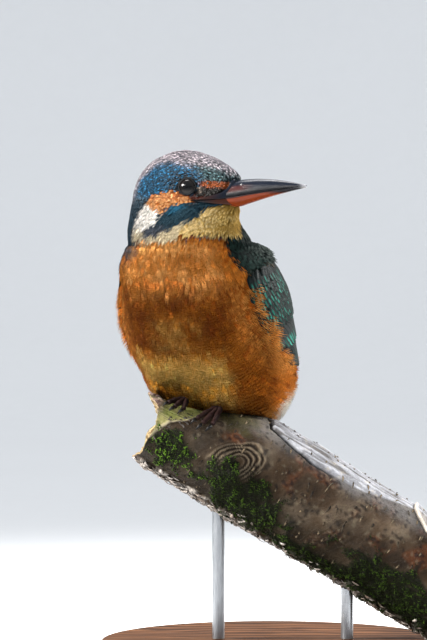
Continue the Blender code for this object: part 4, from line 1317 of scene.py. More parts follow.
# horn flange beside the bill, running back to the corner of the mouth, with the mouth line along it
def makeGape(side, finish):
    f = np.linspace(17, 65, 60)
    v = np.linspace(0, 1, 26)
    degrees, share = np.meshgrid(f, v, indexing="ij")
    high, low = gapeEdges(degrees)
    mouth = np.interp(degrees, (18, 26, 38, 52, 65), (130.1, 129.8, 129.3, 128.95, 128.75))
    place = low + (high - low) * share
    groove = np.exp(-(((place - mouth) / 0.16) ** 2))
    dome = np.sin(math.pi * share) ** 0.6
    proud = (0.10 + 0.42 * dome - 0.45 * groove * smooth(degrees, 66, 60)) * mm
    angle = headTurn + side * np.radians(degrees)
    outer = birdPoint(place, angle, proud)
    inner = birdPoint(place[:, ::-1], angle[:, ::-1], -0.9 * mm)
    ring = np.concatenate((outer, inner), 1)
    above = smooth(place - mouth, -0.1, 0.25)[..., None]
    backward = smooth(degrees, 34, 58)[..., None]
    upper, lower = between(*bill["gapeUpper"], backward), between(*bill["gapeLower"], backward)
    colour = lower * (1 - above) + upper * above
    colour = colour * (1 - 0.85 * groove[..., None])
    colour = np.concatenate((colour, colour[:, ::-1]), 1)
    points = ring.reshape(-1, 3)
    makePiece("gape_left" if side > 0 else "gape_right", points,
              fixWinding(points, cappedTube(*ring.shape[:2])), finish, "bill_black",
              plume=colour.reshape(-1, 3))


def makeBill():
    horn, tree, shader = newMaterial("bill horn", 0.24, Specular_IOR_Level=0.12)
    mottle(tree, shader, colourLayer(tree, "plume"), 4 * mm, 0.4 * mm, 0.15)
    turned = mappedPlace(tree, Rotation=(0.0, 0.0, bodyShape["headYaw"]))
    streaks = grain(tree, turned, 0.5 * mm, 3.0, 0.6, stretch=(0.12, 1.0, 1.0))
    setRoughness(tree, shader, streaks, 0.3, 0.7, 0.20, 0.26)
    addBump(tree, shader, streaks, 0.08 * mm, 0.6)
    for part, slot in (("upper", "bill_black"), ("lower", "bill_red")):
        rings, s, q = billRings(part)
        side = np.abs(q - math.pi / 2)
        if part == "upper":
            edge = smooth(side, 0.9, 1.5)[..., None]
            colour = between(bill["upperTop"], bill["upperEdge"], edge)
            red = (smooth(s, 0.30, 0) * within(side, 0.75, 0.95, 1.35, 1.15))[..., None]
            colour = colour * (1 - 0.5 * red) + linear(bill["upperBase"]) * 0.5 * red
            pale, worn = linear(bill["upperTip"]), smooth(s, 0.88, 1)
        else:
            line = 0.62 * smooth(side, 1.35, 0.7) + 0.0 * s
            redness = smooth(s - bill["redEnds"] - 0.10 * np.cos(side * 2), 0.10, -0.16)
            redness = redness * smooth(side, 1.52, 1.32)
            redness = redness[..., None] * (0.75 + 0.25 * line[..., None])
            colour = between(bill["lowerHorn"], bill["lowerRed"], redness)
            pale, worn = linear(bill["lowerTip"]), smooth(s, 0.90, 0.99)
        colour = colour + (pale - colour) * (worn * 0.7)[..., None]
        points = rings.reshape(-1, 3)
        makePiece("mandible_" + part, points, fixWinding(points, cappedTube(*s.shape)), horn, slot,
                  ("bill_" + part,), plume=colour.reshape(-1, 3))
    for side in (1, -1):
        makeGape(side, horn)


branch = {
    "slope": math.radians(31.0), "radius": 21.2, "centre": np.array((10.6, 2.0, 63.6)) * mm,
    "brokenEnd": -68.0, "sawnEnd": 73.5, "knotPlace": -31.0, "knotAngle": math.radians(98.0),
    "knotRadius": 7.0, "knotHeight": 2.5, "rows": 280, "columns": 272,
}
# place along the branch, reach of its upper side (mm)
branchTopRows = ((-80, 5), (-72, 6), (-64, 7), (-56, 9.5), (-47, 13), (-38, 17.3), (-27, 20.8),
                 (-14, 21.2), (80, 21.2))
branchAlong = np.array((math.cos(branch["slope"]), 0.0, -math.sin(branch["slope"])))
branchUp = np.array((math.sin(branch["slope"]), 0.0, math.cos(branch["slope"])))
branchFront = np.array((0.0, -1.0, 0.0))


# point of the bark: place along the branch in mm, angle from its top towards the front
def branchPoint(place, angle, proud=0.0):
    place, angle, proud = np.broadcast_arrays(np.asarray(place, float), angle, proud)
    top = smoothTable(branchTopRows, place)[..., 0]
    knot = np.hypot(place - branch["knotPlace"], (angle - branch["knotAngle"]) * branch["radius"])
    radius = branch["radius"] + branch["knotHeight"] * np.exp(-((knot / branch["knotRadius"]) ** 2))
    radius = radius + 0.4 * np.sin(3.0 * angle + place * 0.09)
    rise = np.where(np.cos(angle) > 0.0, top, radius)
    upward = np.cos(angle) * (rise * mm + proud)
    front = np.sin(angle) * (radius * mm + proud)
    axis = branch["centre"] + (place * mm)[..., None] * branchAlong
    return axis + upward[..., None] * branchUp + front[..., None] * branchFront


feet = {
    "toe": 1.1 * mm, "shank": 1.5 * mm, "claw": 4.2 * mm, "sides": 14, "standoff": 0.35 * mm,
    "scale": "1f0b08", "seam": "1f0d0a", "clawDark": "060607", "clawLight": "141211",
    # where each foot stands and its toes end: mm along the branch, degrees from its top to the front
    "left": ((-46, 16), ((-52, 58), (-49, 64), (-45.5, 60)), (-43, -26)),
    "right": ((-59.5, 12), ((-65, 44), (-62, 50), (-58.5, 48)), (-57, -28)),
}


# rings of a round bar along a path
def tubePoints(path, radii, sides):
    path, radii = np.asarray(path), np.asarray(radii)
    ahead = unit(np.gradient(path, axis=0))
    side = unit(np.cross(ahead, np.array((0.3, 1.0, 0.2))))
    over = np.cross(ahead, side)
    turn = np.linspace(0, tau, sides, endpoint=False)
    ring = np.cos(turn)[None, :, None] * side[:, None] + np.sin(turn)[None, :, None] * over[:, None]
    return path[:, None] + ring * radii[:, None, None]


# several bars as one mesh, each with a flat face over both ends
def joinTubes(tubes):
    points, faces = [], []
    for rings in tubes:
        start, (rows, sides) = len(points), rings.shape[:2]
        faces += [tuple(f) for f in (gridFaces(rows, sides) + start).tolist()]
        faces.append(tuple(start + k for k in reversed(range(sides))))
        faces.append(tuple(start + (rows - 1) * sides + k for k in range(sides)))
        points += rings.reshape(-1, 3).tolist()
    return np.array(points), fixWinding(points, faces)


def toeTube(start, end):
    step = np.linspace(0, 1, 40)
    place, angle = start[0] + (end[0] - start[0]) * step, np.radians(start[1] + (end[1] - start[1]) * step)
    lift = feet["toe"] + feet["standoff"] + 0.9 * mm * np.sin(math.pi * step)
    path = branchPoint(place, angle, lift)
    radii = np.linspace(feet["toe"] * 1.15, feet["toe"] * 0.85, 40)
    radii = radii * (1.0 + 0.10 * np.cos(step * math.pi * 6)) + 0.05 * mm * np.sin(step * tau * 12)
    radii[0], radii[-1] = radii[0] * 0.5, radii[-1] * 0.55
    return tubePoints(path, radii, feet["sides"])


def clawTube(end, number):
    step = np.linspace(0, 1, 24)
    turn = 1.0 if number < 3 else -1.0
    travel = 0.4 + 0.88 + 0.8 * feet["claw"] / mm * step
    angle = math.radians(end[1]) + turn * travel / (branch["radius"] * 0.85)
    bow = 0.8 * mm * np.sin(math.pi * np.minimum(1, step * 1.1))
    lift = feet["toe"] + feet["standoff"] + bow - 0.9 * mm * step**2
    path = branchPoint(end[0] - 0.25 * travel * (number < 3), angle, lift)
    return tubePoints(path, 0.72 * mm * (1.0 - step) ** 0.7 + 0.10 * mm, 12)


def makeFeet():
    skinMat, tree, shader = newMaterial("foot skin", 0.6, Specular_IOR_Level=0.15)
    scales = addNode(tree, "ShaderNodeTexVoronoi", {"Vector": objectPlace(tree), "Scale": 1 / (0.55 * mm)},
                     feature="DISTANCE_TO_EDGE")
    seam = spread(tree, scales.outputs[0], 0.0, 0.12)
    mottled = useGroup(tree, speckleGroup, {"Colour": rgba(feet["scale"]), "Patch Size": 3 * mm,
                                            "Fleck Size": 0.3 * mm, "Amount": 0.5})
    setColour(tree, shader, blendColour(tree, seam, rgba(feet["seam"]), mottled["Colour"]))
    addBump(tree, shader, seam, 0.12 * mm)
    clawMat, tree, shader = newMaterial("claw horn", 0.4, Specular_IOR_Level=0.2)
    streaks = grain(tree, objectPlace(tree), 0.4 * mm, 3.0)
    setColour(tree, shader, blendColour(tree, streaks, rgba(feet["clawDark"]), rgba(feet["clawLight"])))
    addBump(tree, shader, streaks, 0.05 * mm)
    for label in ("left", "right"):
        start, toes, hind = feet[label]
        ankle = branchPoint(start[0], math.radians(start[1]), feet["toe"] + feet["standoff"])
        low, high = ankle + up * 0.4 * mm, ankle + up * 8.0 * mm - forward * 3.5 * mm
        step = np.linspace(0, 1, 24)
        shank = tubePoints(low + (high - low) * step[:, None],
                           feet["shank"] * (1.0 - 0.12 * np.sin(math.pi * step)), feet["sides"])
        toeTubes = [toeTube(start, end) for end in (*toes, hind)]
        points, faces = joinTubes([shank, *toeTubes])
        makePiece("toes_" + label, points, faces, skinMat, "foot_skin", ("foot_" + label, "leg_" + label))
        for number, end in enumerate((*toes, hind)):
            points, faces = joinTubes([clawTube(end, number)])
            makePiece(f"talon_{label}_{number + 1}", points, faces, clawMat, "bill_black",
                      (f"claw_{label}_{number + 1}",))


bark = {
    "crack": ((-27, 4), (-24, 32), (-18, 36), (-10, 42), (-3, 47), (3, 47),
              (9.6, 48)),
    "peel": ((41.6, 8), (41.6, 22), (44.5, 34), (49.6, 46), (56, 51), (63, 52)),
    "rim": ((-63, -170), (-58, -100), (-47, -50), (-47.5, 0), (-49, 30), (-55, 66),
            (-62, 100), (-66, 125), (-70, 190)),
    "lenticels": 420, "mossSprigs": 5200, "flakes": 760, "pits": "1c150f",
    # end faces: how far the middle is set in (mm), light and dark ring colour, how close the rings are
    "broken": (5.5, "a08d68", "4e3d28", 40), "sawn": (0, "c3a273", "8f6a3f", 95),
    "lenticelColours": ("16110c", "5f5341"), "flakeColours": ("6a5c50", "b9b1a9"),
    "mossFoot": ("0d1006", "1c260a"), "mossTip": ("1a200b", "557820"),
}
rimPlaces, rimAngles = zip(*bark["rim"])


# distance in mm to a broken line on the bark, the side of it and the share along it
def nearLine(place, angle, line):
    radius = branch["radius"]
    at = np.stack((place, angle * radius), -1)
    nodes = np.array([(p, math.radians(a) * radius) for p, a in line])
    best, side, share = np.full(place.shape, 1e3), np.zeros(place.shape), np.zeros(place.shape)
    for k in range(len(nodes) - 1):
        run = nodes[k + 1] - nodes[k]
        t = np.clip(((at - nodes[k]) @ run) / (run @ run), 0, 1)
        gap = at - (nodes[k] + t[..., None] * run)
        distance = np.hypot(gap[..., 0], gap[..., 1])
        closer = distance < best
        best = np.where(closer, distance, best)
        side = np.where(closer, np.sign(run[0] * gap[..., 1] - run[1] * gap[..., 0]), side)
        share = np.where(closer, (k + t) / (len(nodes) - 1), share)
    return best, side, share


# 0 to 1 cover of moss over the bark
def mossAmount(place, degrees, rough):
    def patch(p, a, wide, tall):
        return 1.0 - np.hypot((place - p) / wide, (degrees - a) / tall)
    cover = np.maximum(patch(-55, 116, 16, 34), patch(-31, 106, 11, 24))
    cover = np.maximum(cover, patch(-20, 128, 26, 50))
    cover = np.maximum(cover, patch(14, 150, 40, 26) * 0.9)
    cover = np.maximum(cover, patch(48, 134, 40, 58) * 0.9)
    return smooth(cover + 0.45 * rough, 0.18, 0.55)


# height of the bark's detail in mm and its colour, at places in mm and angles in radians
def barkRelief(place, angle):
    degrees = np.degrees(angle)
    flat = branchPoint(place, angle)
    broad, rough = cloud(flat, 14 * mm, 5).reshape(place.shape), cloud(flat, 5 * mm, 6).reshape(place.shape)
    fine = cloud(flat, 1.7 * mm, 7).reshape(place.shape)
    along = np.stack((place * 0.10, np.cos(angle) * 21.0, np.sin(angle) * 21.0), -1) * mm
    fibre = cloud(along, 1.1 * mm, 8).reshape(place.shape)
    height = 0.35 * broad + 0.22 * rough + 0.10 * fine

    # smooth slab with a crack along its edge, and the lip where the bark peels
    slabEdge = np.interp(place, (-26, -24, -18, -10, -3, 3, 9.6, 20, 41),
                         (8, 32, 36, 42, 47, 47, 48, 44, 24))
    slab = smooth(slabEdge - degrees, -1.5, 1.5) * smooth(place, -26, -24) * smooth(degrees, -150, -110)
    distance, _, share = nearLine(place, angle, bark["crack"])
    crackGap = smooth(distance, 0.9, 0.25) * smooth(share, 1, 0.8)
    height = height + 0.7 * slab * smooth(place, 14, -6) + 0.30 * slab * fibre - 2.0 * crackGap
    peelDistance, peelSide, _ = nearLine(place, angle, bark["peel"])
    beyond = smooth(peelDistance * -peelSide, -0.25, 0.25) * smooth(place, 40, 42)
    lip = beyond * smooth(peelDistance, 7, 0)
    peelGap = smooth(peelDistance, 0.8, 0.2)
    height = height + 1.1 * lip - 0.8 * peelGap * (1.0 - beyond)

    # rings round the knot
    x, y = place - branch["knotPlace"], (angle - branch["knotAngle"]) * branch["radius"]
    around = np.hypot(x + 0.45 * y, (y + 1.5) * 0.80) + 1.1 * rough + 0.25 * fine
    rings = within(around, 2.2, 3.2, 11.5, 8) * smooth(y, 4, -1)
    ringWave = np.cos(around * tau / (1.15 + 0.04 * around))
    height = height + rings * (0.38 * ringWave) + 0.7 * smooth(around, 12, 8) * smooth(y, 6, -1)
    height = height - 1.3 * smooth(around, 3.2, 1)

    # bare wood beyond the rim of the bark, crumbling at the broken end
    rimPlace = np.interp(degrees, rimAngles, rimPlaces) + 1.3 * rough + 0.6 * fine
    bare = smooth(place - rimPlace, 0.4, -0.4)
    height = height - bare * (0.9 + 0.5 * fibre + 0.4 * rough)
    height = height + 0.35 * smooth(np.abs(place - rimPlace), 1, 0.2)
    crumbly = smooth(place, -64, -68.5)
    height = height + crumbly * (0.8 * fine + 0.9 * rough)

    raggedUnder = smooth(degrees + 9.0 * rough + 4.0 * fine, 150, 156) * smooth(degrees, 210, 200)
    raggedUnder = raggedUnder * smooth(place, -66, -60)
    height = height + raggedUnder * (0.5 + 1.1 * np.abs(rough) + 0.7 * fine + 0.4 * fibre)

    colour = np.tile(linear("5a4632"), place.shape + (1,))

    # distance from a round spot, 1 at its uneven edge
    def spotted(p, a, wide, tall, unevenness):
        return np.hypot((place - p) / wide, (degrees - a) / tall) + unevenness * rough

    def tint(mask, hexColour):
        nonlocal colour
        mask = np.clip(mask, 0, 1)[..., None]
        colour = colour * (1.0 - mask) + linear(hexColour) * mask

    tint(smooth(broad + 0.3 * rough, -0.05, 0.45) * 0.8, "93806a")
    tint(smooth(broad + 0.5 * rough, -0.1, -0.5) * 0.8, "33220f")
    tint(smooth(rough - broad, 0.15, 0.6) * 0.7, "7d4420")
    tint(smooth(degrees + 12.0 * rough, 62, 128) * 0.78, "2b2416")
    tint(smooth(spotted(13, 40, 12, 22, 0.3), 1.1, 0.4) * 0.6, "8d8c8e")
    # grey over the top of the branch and the silvery slab with pale streaks: grey bark of its own, partly a
    # painted sheen where the top faces the light
    tint(within(degrees, 58, 40, -130, -90) * smooth(place, -52, -20) * 0.8, "8f8b88")
    tint(slab * 0.85, "7c7e84")
    tint(slab * smooth(fibre, -0.05, 0.35) * 0.8, "a6a8ae")
    tint(slab * smooth(fibre, -0.15, -0.45) * 0.8, "4b4642")
    tint(smooth(spotted(-38, 22, 12, 42, 0.4), 1.1, 0.5) * 0.75, "565020")
    tint(within(degrees, -150, -60, -30, -60) * 0.4, "5d5245")
    # the knot's own ring bands, laid darker in the grooves as painted shade and paler on the ridges as
    # painted highlight
    tint(rings * smooth(ringWave, 0.3, -0.6) * 0.85, "1d1710")
    tint(rings * smooth(ringWave, 0.2, 0.9) * 0.6, "b8a68a")
    tint(smooth(spotted(-46, 80, 9, 22, 0.4), 1.1, 0.4) * 0.6, "231d12")
    tint(smooth(fine + 0.7 * rough, 0.22, 0.60) * (1.0 - 0.6 * slab) * 0.75, "1b1510")
    tint(smooth(0.5 * rough - fine, 0.34, 0.66) * smooth(degrees, 150, 110) * 0.4, "9c9077")
    tint(raggedUnder * smooth(fine + rough, -0.5, 0.2), "a39c94")
    tint(raggedUnder * smooth(fine - rough, 0.1, 0.5) * 0.85, "2b221c")
    # painted shade in the crack and under the lifted lip of the peeling bark
    tint(crackGap + peelGap * (1.0 - beyond) * 0.9, "15100c")
    tint(lip * smooth(peelDistance, 1.4, 0.5), "c2b8ac")
    tint(bare, "8f8a55")
    tint(bare * smooth(fibre, 0, 0.4) * 0.8, "b3ad7c")
    tint(bare * smooth(fibre, -0.1, -0.45) * 0.8, "4c5325")
    tint(bare * smooth(np.abs(degrees - 42.0), 60, 30) * smooth(rough, -0.3, 0.2) * 0.5, "7f8c3f")
    tint(crumbly * smooth(rough, -0.4, 0.1), "8b6f66")
    tint(crumbly * smooth(fine, 0, 0.4) * 0.8, "c5b0a6")
    tint(smooth(np.abs(place - rimPlace), 0.9, 0.3) * smooth(place, -30, -40) * 0.8, "b3a78e")
    moss = mossAmount(place, degrees, rough)
    tint(moss * 0.95, "181b0a")
    height = height + moss * (0.4 + 0.35 * fine)
    # all but the slab, the ragged underside, the bare wood and the lip is darkened to four tenths
    paleAndSheen = np.clip(slab + raggedUnder + 0.45 * bare + lip, 0, 1)[..., None]
    return height, colour * (0.40 + 0.60 * paleAndSheen), moss


# where the broken end lies at each angle, in mm along the branch
def brokenPlace(angle):
    lips = 8.0 * np.maximum(0, np.cos(angle)) - 0.5 * np.maximum(0, -np.cos(angle))
    jags = 0.9 * np.sin(5 * angle) + 0.6 * np.sin(9 * angle + 1.0)
    return branch["brokenEnd"] - (lips + jags - 3.0)


def makeBark():
    mat, tree, shader = newMaterial("bark", 0.75, Specular_IOR_Level=0.12)
    mottled = useGroup(tree, speckleGroup, {"Colour": colourLayer(tree, "plume"), "Patch Size": 7 * mm,
                                            "Fleck Size": 0.8 * mm, "Amount": 0.6})
    turned = mappedPlace(tree, Rotation=(0.0, branch["slope"], 0.0))
    fibres = grain(tree, turned, 1.0 * mm, 4.0, 0.65, stretch=(0.22, 1.0, 1.0))
    pores = grain(tree, objectPlace(tree), 0.45 * mm, 3.0, 0.7)
    pitted = calc(tree, "MULTIPLY", spread(tree, pores, 0.36, 0.28), 0.6)
    setColour(tree, shader, blendColour(tree, pitted, mottled["Colour"], rgba(bark["pits"])))
    setRoughness(tree, shader, fibres, 0.3, 0.75, 0.5, 0.85)
    addBump(tree, shader, calc(tree, "MULTIPLY_ADD", pores, 0.5, fibres), 0.8 * mm)

    rows, columns = branch["rows"], branch["columns"]
    turns = np.linspace(-math.pi, math.pi, columns, endpoint=False) + 1.0
    t = np.linspace(0, 1, rows)
    start = brokenPlace(turns)
    place = start[None, :] + (branch["sawnEnd"] - start)[None, :] * t[:, None]
    angle = np.broadcast_to(barkAngle(turns), place.shape)
    height, colour, _ = barkRelief(place, angle)
    height = height * smooth(branch["sawnEnd"] - place, 0, 0.8)
    points = branchPoint(place, angle, height * mm)

    # end faces: rings drawn in to the middle
    ends, endColours = [], []
    for at, end in ((0, "broken"), (-1, "sawn")):
        inset, light, dark, closeness = bark[end]
        rim = points[at]
        middle = rim.mean(0)
        shares = 1.0 - np.linspace(0, 1, 30)[1:-1]
        ring = middle + (rim - middle) * shares[:, None, None]
        depth = inset * mm * (1.0 - shares**2)
        jag, sawn = 0.0, 0.0
        if end == "broken":
            jag = cloud(ring * np.array((0.35, 1.0, 1.0)), 1.8 * mm, 9).reshape(ring.shape[:2])
        else:
            sawn = 0.06 * mm * np.sin(shares * 90.0)[:, None]
        ring = ring + branchAlong * (depth[:, None] + 1.6 * mm * jag + sawn)[..., None]
        band = np.clip(0.5 + 0.5 * np.sin(shares * closeness), 0, 1)[:, None] + 0.4 * jag
        band = np.clip(np.broadcast_to(band, ring.shape[:2]), 0, 1)[..., None]
        ends.append((ring, middle + branchAlong * inset * mm))
        endColours.append(between(dark, light, band))
    near, far = ends
    grid = np.concatenate((near[0][::-1], points, far[0]))
    colours = np.concatenate((endColours[0][::-1], colour, endColours[1]))
    points = np.concatenate((grid.reshape(-1, 3), [near[1], far[1]]))
    colours = np.concatenate((colours.reshape(-1, 3), [linear(bark[end][2]) for end in ("broken", "sawn")]))
    makePiece("bark_and_wood", points, fixWinding(points, fannedTube(len(grid), columns)), mat, "bark",
              ("perch_branch",), plume=colours)


# angle brought between -160 and 200 degrees, in radians, so that the underside is one range
def barkAngle(angle):
    low = math.radians(-160.0)
    return (np.asarray(angle) - low) % tau + low


# random places and angles on the bark, thinned where two come closer than the spacing
def scatterOnBark(count, low, high, rng, spacing):
    place = rng.uniform(low, high, count * 3)
    angle = barkAngle(rng.uniform(-math.pi, math.pi, count * 3))
    at = branchPoint(place, angle)
    cell = np.floor(at / spacing).astype(int)
    _, first = np.unique(cell, axis=0, return_index=True)
    first = rng.permutation(first)[:count]
    return place[first], angle[first]


# root mesh for things standing on the bark, leaning round it by the given angles in radians
def barkRoots(name, place, angle, lean, size, foot, tip, kind, sink):
    height = barkRelief(place, angle)[0]
    point = branchPoint(place, angle, height * mm - sink)
    ahead = unit(branchPoint(place + 0.4, angle, height * mm)
                 - branchPoint(place - 0.4, angle, height * mm))
    around = unit(branchPoint(place, angle + 0.02, height * mm)
                  - branchPoint(place, angle - 0.02, height * mm))
    out = unit(np.cross(ahead, around))
    centre = branch["centre"] + (place * mm)[:, None] * branchAlong
    out = np.where((np.sum(out * (point - centre), 1) > 0.0)[:, None], out, -out)
    lie = unit(np.cos(lean)[:, None] * ahead + np.sin(lean)[:, None] * around)
    patch = np.stack(((place + 80.0) / 160.0, (angle + math.pi) / tau, 0.0 * place), -1)
    return rootMesh(name, point, kind, lie=lie, out=out, size=size, patch=patch,
                    plume=np.clip(foot, 0, 1), plumeTip=np.clip(tip, 0, 1))


# 0 mound for a lenticel or flake, 1 and 2 moss sprigs
def makeMossShapes():
    home = bpy.data.collections.new("bark shapes")
    featherShape("a lenticel", [dict(lean=0.0, length=1.0, widths=(0.6, 1.0, 0.7),
                                     steps=(0.0, 0.35, 0.75, 1.0), rise=(2.4, -2.4))], home)
    for name, leans in (("b moss sprig", (-1.0, -0.2, 0.5, 1.1)), ("c moss sprig", (-0.7, 0.1, 0.9))):
        featherShape(name, [dict(lean=lean * 0.8, length=1.0 - 0.12 * abs(lean), widths=(0.5, 0.62),
                                 steps=(0.0, 0.55, 1.0), rise=(2.0, -0.5 - 0.5 * abs(lean)))
                            for lean in leans], home)
    return home


# material of small things on the bark: two colours from foot to tip, mottled
def sproutMaterial(name, specular, depth, tipFrom, patch, fleck, amount, bump):
    mat, tree, shader = newMaterial(name, 0.8, Specular_IOR_Level=specular)
    web = useGroup(tree, barbGroup, {"Barbs": 3.0, "Depth": depth, "Tip From": tipFrom, "Tip Width": 1.0})
    mottled = mottle(tree, shader, web["Colour"], patch, fleck, amount)
    addBump(tree, shader, mottled["Height"], bump)
    return mat


def makeBarkDetail():
    rng = np.random.default_rng(5)
    shapes = makeMossShapes()
    grit = sproutMaterial("lenticels and flakes", 0.15, 0.3, 0.3, 2 * mm, 0.3 * mm, 0.5, 0.25 * mm)
    mossMat = sproutMaterial("moss", 0.1, 0.25, 0.45, 3 * mm, 0.5 * mm, 0.4, 0.2 * mm)

    # lenticels run across the branch, singly and in short rows
    place, angle = scatterOnBark(bark["lenticels"], -44.0, 72.0, rng, 5.0 * mm)
    rough = cloud(branchPoint(place, angle), 5 * mm, 6)
    keep = mossAmount(place, np.degrees(angle), rough) < 0.4
    keep &= np.hypot(place - branch["knotPlace"], np.degrees(angle) * 0.37 - 36.0) > 9.0
    place, angle = place[keep], angle[keep]
    count = len(place)
    long = rng.uniform(1.3, 4.2, count) * mm
    size = np.stack((rng.uniform(0.6, 1.0, count) * mm, long, rng.uniform(0.45, 0.8, count) * mm), -1)
    lean = math.pi / 2 + rng.normal(0.0, 0.22, count)
    light = rng.uniform(0.0, 1.0, (count, 1))
    colours = between(*bark["lenticelColours"], light)
    roots = barkRoots("lenticels", place, angle, lean, size, colours * 0.5, colours * 1.5,
                      np.zeros(count), 0.1 * mm)
    growPiece("lenticels", roots, shapes, grit)

    # pale flakes along the ragged underside and the broken rim
    place = rng.uniform(-66.0, 72.0, bark["flakes"])
    angle = np.radians(rng.normal(172.0, 9.0, bark["flakes"]))
    crumbs = rng.uniform(0.0, 1.0, bark["flakes"]) < 0.12
    rimAngle = rng.uniform(-20.0, 130.0, bark["flakes"])
    rimAt = np.interp(rimAngle, rimAngles, rimPlaces)
    place = np.where(crumbs, rimAt + rng.normal(-1.0, 2.2, bark["flakes"]), place)
    angle = barkAngle(np.where(crumbs, np.radians(rimAngle), angle))
    kept = place > brokenPlace(angle) + 1.0
    place, angle, crumbs = place[kept], angle[kept], crumbs[kept]
    count = len(place)
    size = np.stack((rng.uniform(0.9, 2.6, count), rng.uniform(1.4, 5.0, count),
                     rng.uniform(0.5, 1.3, count)), -1) * mm
    size[crumbs] *= 0.45
    light = rng.uniform(0.0, 1.0, (count, 1))
    colours = between(*bark["flakeColours"], light)
    colours[crumbs] *= 0.3
    roots = barkRoots("bark_flakes", place, angle, rng.normal(0.0, 0.7, count), size, colours * 0.5,
                      colours, np.zeros(count), 0.15 * mm)
    growPiece("bark_flakes", roots, shapes, grit)

    # moss in cushions over its patches
    place, angle = scatterOnBark(60000, -67.0, 71.0, rng, 0.72 * mm)
    rough = cloud(branchPoint(place, angle), 5 * mm, 6)
    cover = mossAmount(place, np.degrees(angle), rough) * (place > brokenPlace(angle) + 1.0)
    keep = np.flatnonzero(rng.uniform(0.05, 1.0, len(place)) < cover)[:bark["mossSprigs"]]
    place, angle, cover = place[keep], angle[keep], cover[keep]
    count = len(place)
    clump = cloud(branchPoint(place, angle), 2.2 * mm, 12)
    tall = (0.55 + 0.5 * smooth(clump, -0.3, 0.4)) * rng.uniform(0.75, 1.3, count)
    size = np.stack((tall * 0.55, tall * 0.9, tall * 0.55), -1) * mm
    bright = np.clip(smooth(clump, -0.1, 0.5)[:, None] * 0.8 + rng.uniform(-0.3, 0.4, (count, 1)), 0, 1)
    bright = bright * smooth(place, -18, -48)[:, None] + bright * 0.4
    foot = between(*bark["mossFoot"], 0.3 * bright)
    tip = between(*bark["mossTip"], np.clip(bright, 0, 1))
    roots = barkRoots("moss", place, angle, rng.uniform(0.0, tau, count), size, foot, tip,
                      rng.integers(1, 3, count), 0.05 * mm)
    growPiece("moss", roots, shapes, mossMat)
    removeShapes(shapes)


stand = {"woodDark": "2b1a10", "woodLight": "5a3a22", "woodPore": "160c07", "ringSize": 3.2 * mm,
         "steelDark": "6f7276", "steelLight": "a9acb0"}


# the stand keeps the part's own solids and only gets its materials
def finishStand():
    wood, tree, shader = newMaterial("stand wood", 0.6, Specular_IOR_Level=0.06)
    place = mappedPlace(tree, Scale=(0.22, 1.0, 1.0))
    wander = grain(tree, place, 22 * mm, 2.0, 0.5)
    rings = addNode(tree, "ShaderNodeTexWave", {"Vector": place, "Scale": 0.02 / stand["ringSize"] * 7.0,
                                                "Distortion": 7.0, "Detail": 3.0, "Detail Scale": 2.0,
                                                "Phase Offset": calc(tree, "MULTIPLY", wander, 8.0)},
                    bands_direction="Y").outputs["Fac"]
    pores = grain(tree, place, 0.7 * mm, 3.0, 0.7, stretch=(0.10, 1.0, 1.0))
    tone = blendColour(tree, rings, rgba(stand["woodDark"]), rgba(stand["woodLight"]))
    tone = blendColour(tree, calc(tree, "MULTIPLY", spread(tree, pores, 0.45, 0.30), 0.7), tone,
                       rgba(stand["woodPore"]))
    setColour(tree, shader, tone)
    setRoughness(tree, shader, rings, 0.0, 1.0, 0.68, 0.56)
    addBump(tree, shader, calc(tree, "MULTIPLY_ADD", pores, 0.6, rings), 0.08 * mm)

    steel, tree, shader = newMaterial("stand steel", 0.3, Metallic=1.0)
    brushed = grain(tree, objectPlace(tree), 0.35 * mm, 3.0, 0.6, stretch=(1.0, 1.0, 0.06))
    smudge = grain(tree, objectPlace(tree), 12 * mm, 2.0, 0.5)
    setColour(tree, shader, blendColour(tree, brushed, rgba(stand["steelDark"]), rgba(stand["steelLight"])))
    setRoughness(tree, shader, smudge, 0.3, 0.7, 0.24, 0.38)
    addBump(tree, shader, brushed, 0.03 * mm)
    for name, finish in (("stand_base", wood), ("stand_rod_left", steel), ("stand_rod_right", steel)):
        for holder in frame["nodes"][name].material_slots:
            holder.material = finish


for part, make in (("skin", makeSkin), ("coat", makeCoat), ("wings and tail", makeFlight),
                   ("eyes", makeEyes), ("bill", makeBill), ("feet", makeFeet), ("branch", makeBark),
                   ("moss and flakes", makeBarkDetail), ("stand", finishStand)):
    make()
    print(part, "ready")
removeShapes(featherShapes)


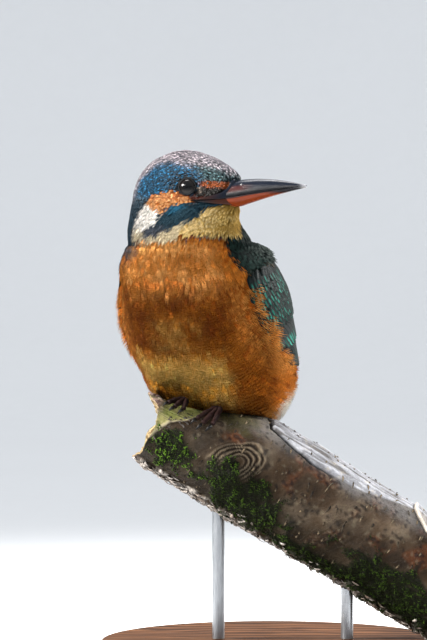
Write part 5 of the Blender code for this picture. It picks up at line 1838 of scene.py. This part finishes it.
studio = {
    "flatRadius": 2.15, "curve": 1.2, "rimHeight": 1.5, "floorColour": "e6e8ea",
    "cameraAt": (-0.024, -1.1, 0.135), "lens": 153.3, "sky": 1.0,
    # place, target, size, watts, colour, beam width in degrees
    "lights": {
        "overhead": ((-0.12, 0.26, 0.95), (-0.02, -0.03, 0.16), 0.50, 2.6, (1.0, 0.98, 0.97), 80.0),
        "key left": ((-1.05, -0.22, 0.66), (-0.03, 0.0, 0.14), 0.36, 3.9, (1.0, 0.96, 0.91), 48.0),
        "front fill": ((-1.20, -1.0, 1.00), (-0.03, 0.0, 0.13), 0.40, 0.6, (1.0, 0.96, 0.91), 48.0),
        "back right": ((0.75, 0.45, 0.45), (0.0, 0.0, 0.14), 0.40, 2.6, (1.0, 0.98, 0.95), 60.0),
    },
}


# plain pale floor that curves up all round, far away
def makeFloor():
    profile = [(0.001, 0.0), (studio["flatRadius"], 0.0)]
    for turn in np.linspace(0, math.pi / 2, 24)[1:]:
        profile.append((studio["flatRadius"] + studio["curve"] * math.sin(turn),
                        studio["curve"] * (1 - math.cos(turn))))
    profile.append((studio["flatRadius"] + studio["curve"], studio["rimHeight"]))
    sides = 96
    turns = np.linspace(0, tau, sides, endpoint=False)
    points = np.array([[(r * math.cos(t), r * math.sin(t), z) for t in turns] for r, z in profile])
    mesh = bpy.data.meshes.new("floor")
    mesh.from_pydata(points.reshape(-1, 3).tolist(), [], gridFaces(len(profile), sides, flip=True).tolist())
    mesh.polygons.foreach_set("use_smooth", [True] * len(mesh.polygons))
    mat, tree, shader = newMaterial("pale floor", 0.85)
    mottle(tree, shader, rgba(studio["floorColour"]), 0.6, 0.02, 0.02)
    mesh.materials.append(mat)
    linkObject("floor", mesh)


def makeLights():
    world = bpy.data.worlds.new("soft sky")
    world.use_nodes = True
    world.node_tree.nodes["Background"].inputs["Color"].default_value = (0.95, 0.97, 1.0, 1.0)
    world.node_tree.nodes["Background"].inputs["Strength"].default_value = studio["sky"]
    bpy.context.scene.world = world
    for name, (place, target, size, watts, colour, beam) in studio["lights"].items():
        light = bpy.data.lights.new(name, "AREA")
        light.shape, light.size, light.energy, light.color = "DISK", size, watts, colour
        light.spread = math.radians(beam)
        obj = linkObject(name, light)
        obj.location = place
        obj.rotation_euler = (Vector(target) - Vector(place)).to_track_quat("-Z", "Y").to_euler()


def makeCamera():
    camera = linkObject("camera", bpy.data.cameras.new("camera"))
    camera.location = studio["cameraAt"]
    camera.rotation_euler = (math.radians(90.0), 0.0, 0.0)
    camera.data.sensor_width = 36.0
    camera.data.lens = studio["lens"]
    camera.data.clip_start = 0.01
    camera.data.clip_end = 50.0
    bpy.context.scene.camera = camera
    bpy.context.scene.view_settings.view_transform = "Standard"


makeFloor()
makeLights()
makeCamera()
print("stage ready")
